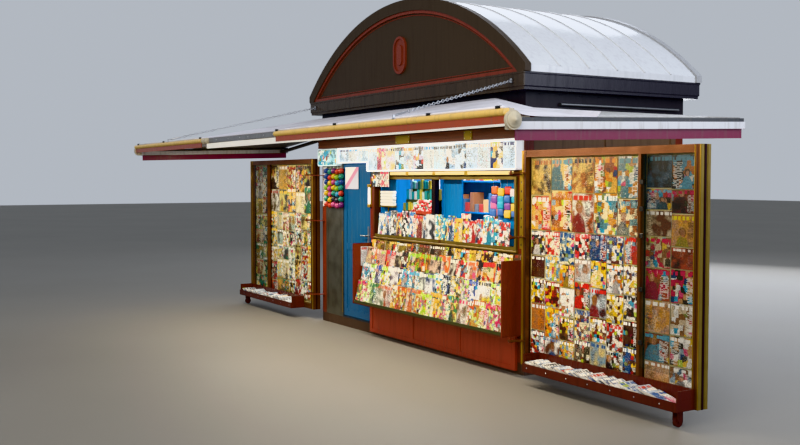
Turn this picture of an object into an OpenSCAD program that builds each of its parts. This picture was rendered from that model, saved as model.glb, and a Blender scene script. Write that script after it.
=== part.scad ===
// Street kiosk for newspapers: a hollow steel cabin with a barrel roof, a counter with
// stepped display tiers, two display wings that close over the front and a fabric canopy.
// Millimetres. +X runs along the front to the right, +Y to the rear, +Z up.
// The origin is on the ground at the middle of the cabin's footprint.

/* [Cabin] */
// Width of the cabin along its front
body_w = 4100; // [3900:50:4400]
// Depth of the cabin from front to rear
body_d = 2000; // [1900:50:2400]
// Thickness of the walls
wall_t = 50; // [40:5:60]
// Height of the base frame
plinth_h = 110; // [90:5:120]
// Width of the base frame's bars
plinth_bar = 90; // [70:5:120]
// Thickness of the floor
floor_t = 20; // [15:1:30]
// Gap between the fascia and the top of the walls
header_gap = 137; // [110:1:150]
// Side of the square corner posts
post_w = 100; // [90:5:110]
// Depth of the pressed panels in the walls
panel_recess = 8; // [4:1:12]
// Width of the frame left around each pressed panel
panel_frame = 70; // [50:5:90]
// Pressed panels along the rear wall
rear_panels = 5; // [3:1:7]
// Pressed panels along each side wall
side_panels = 2; // [2:1:4]
// Thickness of the ceiling
ceiling_t = 15; // [10:1:20]

/* [Roof] */
// Height of the recessed band between walls and cornice
band_h = 190; // [160:5:210]
// Height of the cornice
cornice_h = 160; // [140:5:190]
// Overhang of the cornice past the walls
cornice_out = 115; // [90:5:130]
// Height of the straight foot of the vault and gables
vault_foot = 60; // [40:5:80]
// Rise of the arched roof above its foot
arch_rise = 860; // [760:10:950]
// Thickness of the vault
vault_t = 30; // [20:1:40]
// Thickness of a gable's rim along the roof
gable_t = 70; // [60:5:90]
// Height by which a gable's rim stands above the vault
rim_over = 18; // [10:1:25]
// Width of a gable's rim
rim_w = 105; // [90:5:130]
// Depth of the gable panel behind the rim's face
tympanum_recess = 35; // [20:1:40]
// Width of the moulding inside the rim
moulding_w = 32; // [24:1:40]
// Height of the cartouche on the front gable
cartouche_h = 400; // [300:10:460]
// Width of the cartouche on the front gable
cartouche_w = 250; // [200:10:300]

/* [Front] */
// Left end of the counter, measured from the right corner
counter_end = 2750; // [2600:10:2800]
// Width of the post between counter and door
counter_post_w = 80; // [60:5:100]
// Width of the mullion in the service opening
mullion_w = 70; // [50:5:90]
// Width of each sliding panel behind the service opening
sash_w = 330; // [280:10:400]
// Height of the counter
counter_z = 1140; // [1050:5:1200]
// Thickness of the counter board
counter_t = 30; // [20:1:40]
// Depth of the counter board behind the wall
counter_in = 320; // [200:10:400]
// Reach of the counter board in front of the wall
counter_out = 25; // [10:1:30]
// Height of the head of the service opening
opening_head = 1815; // [1750:5:1830]
// Width of the brass frame around the service opening
opening_bar = 28; // [20:1:35]
// Gap between the opening's head and the lit display
display_gap = 60; // [40:5:80]
// Height of the lit display
display_h = 285; // [250:5:290]
// Height of the display's lower edge over the door
door_display_z = 1978; // [1972:1:1990]
// Depth of the lit display
display_d = 90; // [60:5:110]
// Gap between the lit display and the fascia
fascia_gap = 8; // [5:1:20]
// Height of the fascia
fascia_h = 95; // [80:5:110]
// Thickness of the fascia
fascia_t = 60; // [40:5:70]

/* [Display tiers] */
// Number of tiers under the counter
tier_count = 4; // [3:1:5]
// Height of the bottom edge of the tiers
tier_z = 385; // [370:5:420]
// Reach of the lowest tier in front of the wall
tier_reach = 250; // [220:5:255]
// Depth of the ledge of each tier
tier_ledge = 40; // [30:1:45]
// Height of the lip rail on each ledge
tier_lip = 26; // [18:1:30]
// Height of the top of the end cheeks
cheek_top = 1058; // [1000:2:1080]
// Thickness of the end cheeks
cheek_t = 20; // [15:1:25]

/* [Staff door] */
// Width of the doorway
door_w = 720; // [680:10:760]
// Height of the doorway's head
door_head = 2000; // [1950:5:2050]
// Width of the door frame
door_frame_w = 25; // [20:1:35]
// Thickness of the door leaf
leaf_t = 40; // [30:1:45]
// Clearance around the door leaf
leaf_gap = 8; // [7:1:10]
// Heights of the staff door's hinges
door_hinges = [360, 1060, 1760]; // [300:10:1800]
// Height of the staff door's handle above the floor
handle_z = 1000; // [900:10:1100]
// Radius of the staff door's hinge pins
door_pin_r = 5; // [4:0.5:6]

/* [Wings] */
// Length of each wing
wing_l = 2050; // [1900:10:2060]
// Thickness of each wing
wing_t = 100; // [80:5:110]
// Height of the bottom of each wing
wing_z = 130; // [110:5:160]
// Clearance between a wing and the side valance over it
wing_clear = 35; // [30:1:60]
// Width of the wing's posts and rails
wing_bar = 60; // [50:5:80]
// Width of the glazed bay at the free end
wing_glass_w = 560; // [400:10:700]
// Thickness of the glass
glass_t = 6; // [4:1:8]
// Thickness of the wing's back board
wing_board_t = 18; // [12:1:25]
// Distance of the hinge axis in front of the wall
hinge_out = 200; // [195:5:215]
// Distance of the hinge axis outside the corner
hinge_side = 50; // [45:5:70]
// Gap between the hinge axis and the wing's post
hinge_gap = 30; // [25:1:40]
// Radius of the hinge pins
pin_r = 9; // [7:1:11]
// Radial play of the hinge pins
pin_play = 0.1; // [0.05:0.05:0.1]
// Height of the lowest hinge above the wing's bottom
hinge_foot = 200; // [160:5:260]
// Height of the middle hinge above the wing's bottom
hinge_mid = 1130; // [900:10:1200]
// Distance of the top hinge below the wing's top
hinge_head = 215; // [160:5:260]
// Depth of the newspaper tray in front of the wing
tray_d = 190; // [150:5:195]
// Height of the newspaper tray
tray_h = 150; // [100:5:170]
// Thickness of the tray's sheet
tray_t = 12; // [8:1:16]
// Clearance of the castor above the ground
castor_gap = 4; // [3:1:6]
// Radius of the castor's wheel
castor_r = 38; // [30:1:45]

/* [Canopy] */
// Reach of the canopy's front bar from the wall
canopy_out = 1800; // [1600:10:1900]
// Reach of the canopy past each corner
canopy_side = 2060; // [1900:10:2100]
// Height of the canopy's fabric above the top of the walls
canopy_rise = 130; // [100:5:160]
// Fall of the canopy from the wall to the top of the front bars
canopy_fall = 289; // [270:1:300]
// Height of a bar's profile
bar_h = 48; // [40:1:55]
// Depth of a bar's profile
bar_d = 46; // [36:1:60]
// Height of the valance under the front bars
front_valance_h = 50; // [40:5:60]
// Height of the valance under the side bars
side_valance_h = 72; // [60:2:76]
// Thickness of a valance
valance_t = 6; // [4:1:8]
// Length of the front bar at the right
bar_right_l = 3580; // [3000:20:3800]
// Length of the front bar at the left
bar_left_l = 2620; // [2400:20:3000]
// Drop from the top of the front bars to the side bars' profile, at the front
side_bar_drop = 83; // [71:1:85]
// Rise of the side bars to the rear
side_bar_rise = 60; // [52:1:72]
// Distance of the side bar's rear end behind the wall's face
side_bar_back = 410; // [300:10:500]
// Place behind the front bar where the fabric's corner ends on a side bar
gusset_reach = 734; // [600:2:900]
// Height of the side roofs at the cabin, above the top of the walls
side_roof_rise = 30; // [28:1:36]
// Radius of the round castings at the canopy's corners
corner_r = 62; // [55:1:64]
// Height of the fabric rail on a side bar
fabric_rail_h = 28; // [20:1:32]
// Thickness of the fabric
fabric_t = 6; // [4:1:8]
// Radius of the canopy's arms
arm_r = 24; // [18:1:30]
// Radius of the stays
stay_r = 6; // [4:1:8]
// Spacing of the lamps
lamp_pitch = 640; // [500:10:800]
// Number of lamps
lamp_count = 11; // [7:1:11]
// Radius of a lamp
lamp_r = 55; // [40:1:65]
// Distance of the lamp rail in front of the wall
lamp_out = 1000; // [900:10:1100]

/* [Hidden] */

half_w = body_w / 2;
half_d = body_d / 2;
front_y = -half_d;
floor_z = plinth_h + floor_t;
display_z = opening_head + display_gap;
fascia_z = display_z + display_h + fascia_gap;
wall_top = fascia_z + fascia_h + header_gap;
wall_h = wall_top - plinth_h;
canopy_wall_z = wall_top + canopy_rise;
front_bar_z = canopy_wall_z - canopy_fall;
side_bar_front_z = front_bar_z - side_bar_drop;
side_bar_rear_z = side_bar_front_z + side_bar_rise;
side_roof_z = wall_top + side_roof_rise;
cornice_z = wall_top + band_h;
vault_z = cornice_z + cornice_h;
spring_z = vault_z + vault_foot;
roof_half = half_w + cornice_out;
roof_d = body_d + 2 * cornice_out;
arch_r = (roof_half * roof_half + arch_rise * arch_rise) / (2 * arch_rise);
arch_cz = spring_z + arch_rise - arch_r;
door_start = counter_end + counter_post_w;
door_end = door_start + door_w;
leaf_x0 = half_w - door_end + door_frame_w + leaf_gap;
leaf_x1 = half_w - door_start - door_frame_w - leaf_gap;
door_axis_x = leaf_x0 - leaf_gap / 2;
door_axis_y = front_y + wall_t + door_pin_r + 4;
hinge_x = half_w + hinge_side;
hinge_y = front_y - hinge_out;
tiers_top = counter_z - counter_t;
tier_h = (tiers_top - tier_z) / tier_count;
tier_slope = (tier_reach - tier_count * tier_ledge) / tier_count;
canopy_half = half_w + canopy_side;
canopy_front_y = front_y - canopy_out;
canopy_back_y = front_y + side_bar_back;
gusset_y = canopy_front_y + bar_d + 20 + gusset_reach;
beam_y0 = canopy_front_y + bar_d;
beam_d = 40;
beam_y1 = beam_y0 + beam_d;
side_bar_y0 = beam_y1;
side_bar_y1 = canopy_back_y + 30;
mullion_x = half_w - counter_end * 0.555;
fabric_wall_x = half_w - 300;
fabric_wall_y = front_y - 115;
arm_x = half_w - 180;
lamp_rail_z = front_bar_z - 11;
lamp_rail_t = 30;
flat = 0.3;
rail_drop = 3;
arch_fn = 480;

// Height of a side bar's profile top at a place along it
function side_bar_z(y) = side_bar_front_z
    + (side_bar_rear_z - side_bar_front_z) * (y - side_bar_y0) / (side_bar_y1 - side_bar_y0);

wing_top = side_bar_z(hinge_y) - bar_h - side_valance_h - wing_clear;
hinge_levels = [wing_z + hinge_foot, wing_z + hinge_mid, wing_top - hinge_head];

// X of a point measured leftwards from the right front corner
function from_right(s) = half_w - s;

// A box between two corners
module block(low, high) {
    translate(low) cube([high[0] - low[0], high[1] - low[1], high[2] - low[2]]);
}

// A round rod between two points
module rod(from, to, r) {
    d = to - from;
    run = norm([d[0], d[1]]);
    translate(from)
        rotate([0, atan2(run, d[2]), atan2(d[1], d[0])])
            cylinder(h = norm(d), r = r, $fn = 32);
}

// A wall slab along X with pressed panels on its +Y face
module panelled_wall(length, height, count) {
    pitch = (length - panel_frame) / count;
    difference() {
        block([-length / 2, 0, 0], [length / 2, wall_t, height]);
        for (i = [0 : count - 1])
            block(
                [-length / 2 + panel_frame + i * pitch, wall_t - panel_recess, panel_frame],
                [-length / 2 + (i + 1) * pitch, wall_t + 1, height * 0.36]);
        for (i = [0 : count - 1])
            block(
                [-length / 2 + panel_frame + i * pitch, wall_t - panel_recess,
                    height * 0.36 + panel_frame],
                [-length / 2 + (i + 1) * pitch, wall_t + 1, height - panel_frame]);
    }
}

// A rectangle with round corners, centred on the origin
module rounded(w, h, r) {
    union() {
        square([w - 2 * r, h], center = true);
        square([w, h - 2 * r], center = true);
        for (x = [-1, 1], z = [-1, 1])
            translate([x * (w / 2 - r), z * (h / 2 - r)]) circle(r = r, $fn = 32);
    }
}

// Outline of the roof seen from the front, grown outwards by g
module roof_outline(g) {
    intersection() {
        union() {
            translate([-roof_half - g, vault_z]) square([2 * (roof_half + g), vault_foot]);
            intersection() {
                translate([0, arch_cz]) circle(r = arch_r + g, $fn = arch_fn);
                translate([-roof_half - g, spring_z])
                    square([2 * (roof_half + g), arch_rise + g + 1]);
            }
        }
        translate([-roof_half - g, vault_z]) square([2 * (roof_half + g), 2 * arch_rise]);
    }
}

// An upright outline in X and Z made into a slab from y0 to y1
module slab_y(y0, y1) {
    translate([0, y1, 0]) rotate([90, 0, 0]) linear_extrude(height = y1 - y0) children();
}

// Base frame of welded bars under the floor
module base_frame() {
    color("#3b2a24")
    difference() {
        block([-half_w, -half_d, 0], [half_w, half_d, plinth_h]);
        for (i = [0 : 3], j = [0, 1])
            block(
                [-half_w + plinth_bar + i * (body_w - plinth_bar) / 4,
                    j == 0 ? -half_d + plinth_bar : plinth_bar / 2, -1],
                [-half_w + (i + 1) * (body_w - plinth_bar) / 4,
                    j == 0 ? -plinth_bar / 2 : half_d - plinth_bar, plinth_h - 20]);
    }
}

// Floor inside the walls
module floor_deck() {
    color("#6b6f70")
    block([-half_w + post_w, -half_d + wall_t, plinth_h], [half_w - post_w, half_d - wall_t, floor_z]);
}

module rear_wall() {
    color("#35302f")
    translate([0, half_d - wall_t, plinth_h])
        panelled_wall(body_w - 2 * post_w, wall_h, rear_panels);
}

// Side wall, side = 1 at the right and -1 at the left
module side_wall(side) {
    translate([side * (half_w - wall_t), 0, plinth_h])
        rotate([0, 0, -side * 90])
            panelled_wall(body_d - 2 * post_w, wall_h, side_panels);
}

module side_walls() {
    color("#35302f")
    for (side = [-1, 1]) side_wall(side);
}

// One fixed hinge plate with its pin, for the right corner
module fixed_hinge(z) {
    plate_t = 10;
    translate([0, 0, z]) {
        linear_extrude(height = plate_t)
            polygon([
                [half_w - post_w * 0.7, front_y], [half_w, front_y],
                [hinge_x + 2 * pin_r, hinge_y], [hinge_x + pin_r, hinge_y - 2 * pin_r],
                [hinge_x - 2 * pin_r, hinge_y - pin_r]]);
        translate([hinge_x, hinge_y, plate_t / 2])
            cylinder(h = 3 * plate_t, r = pin_r, $fn = 48);
    }
}

// Four corner posts, the front ones with the wing hinges' plates and pins
module corner_posts() {
    color("#5a2b1f") {
        for (side = [-1, 1], end = [-1, 1])
            translate([side * (half_w - post_w / 2), end * (half_d - post_w / 2), plinth_h])
                difference() {
                    translate([-post_w / 2, -post_w / 2, 0]) cube([post_w, post_w, wall_h]);
                    translate([side * (post_w / 2 - 12), end * (post_w / 2), 60])
                        cylinder(h = wall_h - 120, r = 5, $fn = 24);
                }
        for (side = [0, 1], z = hinge_levels)
            mirror([side, 0, 0]) fixed_hinge(z);
    }
}

// Wall under the counter
module counter_wall() {
    color("#7a3322")
    block([from_right(door_start), front_y, plinth_h], [from_right(post_w), front_y + wall_t, tiers_top]);
}

// Red-brown base panel in front of the wall, below the tiers
module base_panel() {
    panel_t = 28;
    color("#8c3a24")
    difference() {
        block([from_right(door_start), front_y - panel_t, 30],
            [from_right(post_w), front_y, tier_z - 14]);
        for (i = [0 : 2])
            block([from_right(door_start) + 60 + i * (door_start - post_w - 60) / 3,
                    front_y - panel_t - 1, 75],
                [from_right(door_start) + (i + 1) * (door_start - post_w - 60) / 3,
                    front_y - panel_t + 6, tier_z - 60]);
    }
}

// Wall over the service opening and over the doorway
module header_wall() {
    color("#6b2f1c")
    slab_y(front_y, front_y + wall_t)
        polygon([
            [from_right(post_w), opening_head], [from_right(door_start), opening_head],
            [from_right(door_start), door_head], [from_right(door_end), door_head],
            [from_right(door_end), wall_top], [from_right(post_w), wall_top]]);
}

// Post between the counter and the door, and the mullion in the service opening
module counter_post() {
    color("#5f2d1d") {
        difference() {
            block([from_right(door_start), front_y - 20, tiers_top],
                [from_right(counter_end), front_y + wall_t, opening_head]);
            translate([from_right(counter_end + counter_post_w / 2), front_y - 20, tiers_top + 20])
                cylinder(h = opening_head - tiers_top - 40, r = 8, $fn = 24);
        }
        block([mullion_x - mullion_w / 2, front_y, counter_z + opening_bar + flat],
            [mullion_x + mullion_w / 2, front_y + wall_t, opening_head - opening_bar - flat]);
    }
}

// Dark steel panel left of the door, with a service hatch line
module steel_column() {
    color("#3a3a36")
    difference() {
        block([from_right(body_w - post_w), front_y, plinth_h],
            [from_right(door_end), front_y + wall_t, wall_top]);
        for (x = [0.12, 0.88])
            block([from_right(door_end) - x * (body_w - post_w - door_end) - 2,
                    front_y - 1, plinth_h + 60],
                [from_right(door_end) - x * (body_w - post_w - door_end) + 2,
                    front_y + 4, wall_top - 500]);
    }
}

module ceiling() {
    color("#d9d6cc")
    block([-half_w + wall_t, -half_d + wall_t, wall_top],
        [half_w - wall_t, half_d - wall_t, wall_top + ceiling_t]);
}

// Recessed band between walls and cornice
module roof_band() {
    color("#2a2529")
    difference() {
        block([-half_w, -half_d, wall_top], [half_w, half_d, cornice_z]);
        block([-half_w + wall_t, -half_d + wall_t, wall_top - 1],
            [half_w - wall_t, half_d - wall_t, cornice_z + 1]);
    }
}

// Section of the cornice across a body of half width h
module cornice_section(h) {
    polygon([
        [-h - cornice_out + 14, cornice_z], [h + cornice_out - 14, cornice_z],
        [h + cornice_out - 14, cornice_z + 24], [h + cornice_out - 5, cornice_z + 34],
        [h + cornice_out - 5, vault_z - 22], [h + cornice_out, vault_z - 16],
        [h + cornice_out, vault_z], [-h - cornice_out, vault_z],
        [-h - cornice_out, vault_z - 16], [-h - cornice_out + 5, vault_z - 22],
        [-h - cornice_out + 5, cornice_z + 34], [-h - cornice_out + 14, cornice_z + 24]]);
}

// Moulded cornice with mitred corners, open in the middle
module cornice() {
    color("#2c2a35")
    difference() {
        intersection() {
            slab_y(-roof_d, roof_d) cornice_section(half_w);
            rotate([0, 0, 90]) slab_y(-2 * roof_half, 2 * roof_half) cornice_section(half_d);
        }
        block([-half_w + wall_t, -half_d + wall_t, cornice_z - 1],
            [half_w - wall_t, half_d - wall_t, vault_z + 1]);
    }
}

// Barrel vault between the gables
module roof_vault() {
    color("#dfe3ee")
    slab_y(-roof_d / 2 + gable_t, roof_d / 2 - gable_t)
        difference() {
            roof_outline(0);
            translate([-roof_half + vault_t, vault_z - 1])
                square([2 * (roof_half - vault_t), vault_foot + 1]);
            intersection() {
                translate([0, arch_cz]) circle(r = arch_r - vault_t, $fn = arch_fn);
                translate([-roof_half + vault_t, spring_z - 1])
                    square([2 * (roof_half - vault_t), 2 * arch_rise]);
            }
        }
}

// Outline of the sunk panel inside a gable's rim, shrunk by g
module tympanum_outline(g) {
    intersection() {
        translate([0, arch_cz]) circle(r = arch_r - rim_w - g, $fn = arch_fn);
        translate([-roof_half, vault_z + g]) square([2 * roof_half, 2 * arch_rise]);
    }
}

// Gable with a raised rim, end = -1 at the front and 1 at the rear
module gable(end) {
    face = end * roof_d / 2;
    inner = face - end * gable_t;
    sunk = face - end * tympanum_recess;
    difference() {
        slab_y(min(face, inner), max(face, inner)) roof_outline(rim_over);
        slab_y(min(face + end, sunk), max(face + end, sunk)) tympanum_outline(0);
    }
}

module gables() {
    color("#33261f")
    for (end = [-1, 1]) gable(end);
}

// An upright oval with straight sides
module oval(w, h) {
    union() {
        square([w, h - w], center = true);
        for (z = [-1, 1]) translate([0, z * (h - w) / 2]) circle(r = w / 2, $fn = 64);
    }
}

// Plain oval cartouche: a plate with a raised rim and a raised boss
module cartouche() {
    sunk = -(roof_d / 2 - tympanum_recess);
    cz = vault_z + (arch_rise + vault_foot - rim_w) * 0.45;
    rim = cartouche_w * 0.1;
    translate([0, 0, cz])
        difference() {
            slab_y(sunk - 24, sunk) oval(cartouche_w, cartouche_h);
            slab_y(sunk - 25, sunk - 10)
                difference() {
                    oval(cartouche_w - 2 * rim, cartouche_h - 2 * rim);
                    oval(cartouche_w * 0.4, cartouche_h * 0.55);
                }
        }
}

// Red-brown mouldings along the edge of each sunk gable panel, and the front cartouche
module gable_trim() {
    color("#7d3f33") {
        for (end = [-1, 1]) {
            sunk = end * (roof_d / 2 - tympanum_recess);
            proud = sunk + end * 22;
            difference() {
                slab_y(min(sunk, proud), max(sunk, proud)) tympanum_outline(flat);
                slab_y(min(sunk, proud) - 1, max(sunk, proud) + 1) tympanum_outline(moulding_w);
            }
        }
        cartouche();
    }
}

// Brown fascia along the head of the front
module fascia() {
    color("#6b2f1c")
    difference() {
        block([-half_w, front_y - fascia_t, fascia_z],
            [half_w, front_y, fascia_z + fascia_h]);
        for (z = [0.3, 0.7])
            block([-half_w - 1, front_y - fascia_t - 1, fascia_z + z * fascia_h - 3],
                [half_w + 1, front_y - fascia_t + 4, fascia_z + z * fascia_h + 3]);
    }
}

// Outline of the lit display, over the opening and on over the door, shrunk by g
module display_outline(g) {
    left = from_right(door_start - 30);
    right = from_right(20);
    top = display_z + display_h;
    union() {
        translate([(left + right) / 2, display_z + display_h / 2])
            rounded(right - left - 2 * g, display_h - 2 * g, 26 - g * 0.7);
        translate([from_right(door_end - 30) + g, door_display_z + g])
            square([door_w + 60, top - door_display_z - 2 * g]);
    }
}

// Lit display with round corners and a shallow recess for pages
module lit_display() {
    rim = 14;
    color("#f1efe9")
    difference() {
        slab_y(front_y - display_d, front_y) display_outline(0);
        slab_y(front_y - display_d - 1, front_y - display_d + 22) display_outline(rim);
    }
}

// Brass frame lining the service opening
module opening_frame() {
    color("#b8963f")
    difference() {
        block([from_right(counter_end), front_y - 25, counter_z],
            [from_right(post_w), front_y + wall_t + 10, opening_head]);
        block([from_right(counter_end) + opening_bar, front_y - 26, counter_z + opening_bar],
            [from_right(post_w) - opening_bar, front_y + wall_t + 11, opening_head - opening_bar]);
    }
}

// Counter board with a rounded nose
module counter_board() {
    color("#6f5a2a")
    union() {
        block([from_right(counter_end), front_y - counter_out + counter_t / 2, tiers_top],
            [from_right(post_w), front_y + counter_in, counter_z]);
        translate([from_right(counter_end), front_y - counter_out + counter_t / 2,
                tiers_top + counter_t / 2])
            rotate([0, 90, 0])
                cylinder(h = counter_end - post_w, r = counter_t / 2, $fn = 32);
    }
}

// Blue sliding panels behind the service opening, on their rail
module service_panels() {
    sash_t = 18;
    y0 = front_y + wall_t + 10;
    play = counter_end - post_w - 2 * opening_bar - sash_w;
    color("#0f6fb0") {
        for (s = [[1, 0], [0, 0], [0.445, 1]]) {
            right = post_w + opening_bar + s[0] * play;
            y = y0 + s[1] * (sash_t + 6) + 6;
            difference() {
                block([from_right(right + sash_w), y, counter_z],
                    [from_right(right), y + sash_t, opening_head + 30]);
                block([from_right(right + sash_w - 30), y - 1, counter_z + 60],
                    [from_right(right + 30), y + 5, opening_head - 40]);
            }
        }
        block([from_right(counter_end), front_y + wall_t, opening_head + 30],
            [from_right(post_w), front_y + wall_t + 64, opening_head + 62]);
    }
}

// Stepped body of the display tiers
module display_tiers() {
    steps = [for (i = [0 : tier_count - 1])
        each [
            [i * (tier_slope + tier_ledge), tiers_top - i * tier_h],
            [i * (tier_slope + tier_ledge) + tier_slope, tiers_top - (i + 1) * tier_h],
            [(i + 1) * (tier_slope + tier_ledge), tiers_top - (i + 1) * tier_h]]];
    outline = concat(steps, [[tier_reach, tier_z - 14], [0, tier_z - 14]]);
    color("#4a2418")
    translate([from_right(door_start - cheek_t), front_y, 0])
        rotate([90, 0, 90])
            linear_extrude(height = door_start - 2 * cheek_t)
                polygon([for (p = outline) [-p[0], p[1]]]);
}

// Olive rails on round rods along the ledge of each tier
module tier_lips() {
    color("#8a7a33")
    for (i = [1 : tier_count]) {
        y = front_y - i * (tier_slope + tier_ledge);
        z = tiers_top - i * tier_h;
        block([from_right(door_start - cheek_t), y, z],
            [from_right(cheek_t), y + 6, z + tier_lip]);
        translate([from_right(door_start - cheek_t), y + 4, z + tier_lip])
            rotate([0, 90, 0])
                cylinder(h = door_start - 2 * cheek_t, r = 4, $fn = 16);
    }
}

// Upright end cheeks of the tiers
module tier_cheeks() {
    color("#5f2d1d")
    for (x = [from_right(door_start), from_right(cheek_t)])
        translate([x, front_y, 0])
            rotate([90, 0, 90])
                linear_extrude(height = cheek_t)
                    polygon([
                        [0, tier_z - 14], [-tier_reach - 3, tier_z - 14],
                        [-tier_reach - 3, cheek_top - 12], [-tier_reach + 9, cheek_top], [0, cheek_top]]);
}

// White header box over the steel panel
module column_header() {
    header_h = 210;
    color("#cfe8ef")
    slab_y(front_y - 70, front_y)
        translate([from_right((door_end + body_w) / 2 + 10), fascia_z - 8 - header_h / 2])
            rounded(body_w - door_end - 30, header_h, 20);
}

// Frame of the staff doorway with a sill and the fixed half of the hinges
module door_frame() {
    color("#2f3b46") {
        slab_y(front_y, front_y + wall_t)
            difference() {
                translate([from_right(door_end), plinth_h]) square([door_w, door_head - plinth_h]);
                translate([from_right(door_end) + door_frame_w, floor_z])
                    square([door_w - 2 * door_frame_w, door_head - floor_z - door_frame_w]);
            }
        for (z = door_hinges) {
            block([from_right(door_end) + 2, front_y + wall_t, z],
                [door_axis_x + door_pin_r, door_axis_y + door_pin_r, z + 8]);
            translate([door_axis_x, door_axis_y, z + 4])
                cylinder(h = 36, r = door_pin_r, $fn = 32);
        }
    }
}

// Blue staff door with a raised frame, two sunk panels and hinge knuckles
module door_leaf() {
    z0 = floor_z + leaf_gap;
    z1 = door_head - door_frame_w - leaf_gap;
    knuckle_r = door_pin_r + 3.5;
    color("#0f6fb0")
    difference() {
        union() {
            difference() {
                block([leaf_x0, front_y, z0], [leaf_x1, front_y + leaf_t, z1]);
                block([leaf_x0 + 70, front_y - 1, z0 + 90], [leaf_x1 - 70, front_y + 8, z0 + 800]);
                block([leaf_x0 + 70, front_y - 1, z0 + 880], [leaf_x1 - 70, front_y + 8, z1 - 80]);
            }
            for (z = door_hinges) {
                translate([door_axis_x, door_axis_y, z + 10])
                    cylinder(h = 24, r = knuckle_r, $fn = 32);
                block([leaf_x0, front_y + leaf_t, z + 10],
                    [leaf_x0 + 60, door_axis_y + 2, z + 34]);
            }
        }
        for (z = door_hinges)
            translate([door_axis_x, door_axis_y, z + 9])
                cylinder(h = 26, r = door_pin_r + pin_play, $fn = 48);
    }
}

// Lever handle on a long plate
module door_handle() {
    x = leaf_x1 - 38;
    z = floor_z + handle_z;
    color("#b9bcc0") {
        block([x - 20, front_y - 6, z - 110], [x + 20, front_y, z + 110]);
        translate([x, front_y - 5, z]) rotate([90, 0, 0]) cylinder(h = 42, r = 10, $fn = 24);
        translate([x + 4, front_y - 44, z]) rotate([0, -90, 0]) cylinder(h = 120, r = 9, $fn = 24);
    }
}

// Frame of the right wing: posts, rails, mullion and hinge plates
module wing_frame() {
    x0 = hinge_x + hinge_gap;
    x1 = x0 + wing_l;
    y1 = front_y;
    y0 = front_y - wing_t;
    glass_x = x1 - wing_bar - wing_glass_w;
    difference() {
        block([x0, y0, wing_z], [x1, y1, wing_top]);
        block([x0 + wing_bar, y0 - 1, wing_z + wing_bar],
            [glass_x, y1 + 1, wing_top - wing_bar]);
        block([glass_x + wing_bar / 2, y0 - 1, wing_z + wing_bar],
            [x1 - wing_bar, y1 + 1, wing_top - wing_bar]);
        for (z = [0.35, 0.65])
            block([x0 + wing_bar, y0 - 1, wing_top - z * wing_bar - 3],
                [x1 - wing_bar, y0 + 4, wing_top - z * wing_bar + 3]);
        for (y = [y0 + 34, y1 - 34])
            translate([x1, y, wing_z - 1]) cylinder(h = wing_top - wing_z + 2, r = 7, $fn = 24);
    }
    for (z = hinge_levels)
        translate([0, 0, z + 10 + 2])
            linear_extrude(height = 10)
                difference() {
                    union() {
                        translate([hinge_x, hinge_y]) circle(r = 2.4 * pin_r, $fn = 32);
                        polygon([
                            [hinge_x - pin_r * 0.4, hinge_y + 2.3 * pin_r],
                            [hinge_x + 2.2 * pin_r, hinge_y - pin_r],
                            [x0 + wing_bar, y0], [x0, y0]]);
                    }
                    translate([hinge_x, hinge_y]) circle(r = pin_r + pin_play, $fn = 48);
                }
}

// Back board of the right wing, between its posts
module wing_board() {
    x0 = hinge_x + hinge_gap + wing_bar;
    x1 = hinge_x + hinge_gap + wing_l - wing_bar;
    glass_x = x1 - wing_glass_w;
    for (bay = [[x0, glass_x], [glass_x + wing_bar / 2, x1]])
        difference() {
            block([bay[0], front_y - 20 - wing_board_t, wing_z + wing_bar],
                [bay[1], front_y - 20, wing_top - wing_bar]);
            for (z = [0 : 4])
                block([bay[0] + 40, front_y - 25, wing_z + wing_bar + 40 + z * 350],
                    [bay[1] - 40, front_y - 19, wing_z + wing_bar + 350 + z * 350]);
        }
}

// Glass over the free bay of the right wing, with its clips
module wing_glass() {
    x1 = hinge_x + hinge_gap + wing_l - wing_bar;
    x0 = x1 - wing_glass_w + wing_bar / 2;
    z1 = wing_top - wing_bar;
    z0 = wing_z + wing_bar + tray_h;
    block([x0, front_y - wing_t + 8, z0], [x1, front_y - wing_t + 8 + glass_t, z1]);
    for (z = [0.12, 0.37, 0.62, 0.87])
        block([x0, front_y - wing_t + 2, z0 + z * (z1 - z0) - 16],
            [x0 + 26, front_y - wing_t + 8, z0 + z * (z1 - z0) + 16]);
}

// Newspaper tray along the foot of the right wing, with its castor
module wing_tray() {
    x0 = hinge_x + hinge_gap + 260;
    x1 = hinge_x + hinge_gap + wing_l - 30;
    y1 = front_y - wing_t;
    y0 = y1 - tray_d;
    leg_x = x1 - 70;
    leg_y = (y0 + y1) / 2;
    difference() {
        block([x0, y0, wing_z], [x1, y1, wing_z + tray_h]);
        block([x0 + tray_t, y0 + tray_t, wing_z + tray_t],
            [x1 - tray_t, y1 - tray_t, wing_z + tray_h + 1]);
        translate([x0 - 1, y0 - 1, wing_z + 70])
            block([0, 0, 0], [x1 - x0 + 2, tray_t + 2, tray_h]);
    }
    block([leg_x - 26, leg_y - 26, castor_gap + castor_r + 6], [leg_x - 16, leg_y + 26, wing_z]);
    block([leg_x + 16, leg_y - 26, castor_gap + castor_r + 6], [leg_x + 26, leg_y + 26, wing_z]);
    translate([leg_x - 26, leg_y, castor_gap + castor_r])
        rotate([0, 90, 0]) cylinder(h = 52, r = 9, $fn = 24);
    translate([leg_x - 14, leg_y, castor_gap + castor_r])
        rotate([0, 90, 0]) cylinder(h = 28, r = castor_r, $fn = 48);
    for (x = [leg_x - 26, leg_x + 16])
        block([x, leg_y - 12, castor_gap + castor_r - 4], [x + 10, leg_y + 12, castor_gap + castor_r + 8]);
}

module right_wing_frame() {
    color("#7a4a2a") wing_frame();
}

module right_wing_board() {
    color("#d8cdb4") wing_board();
}

module right_wing_glass() {
    color("#bcd4cf", 0.35) wing_glass();
}

module right_wing_tray() {
    color("#4b1f1a") wing_tray();
}

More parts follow.
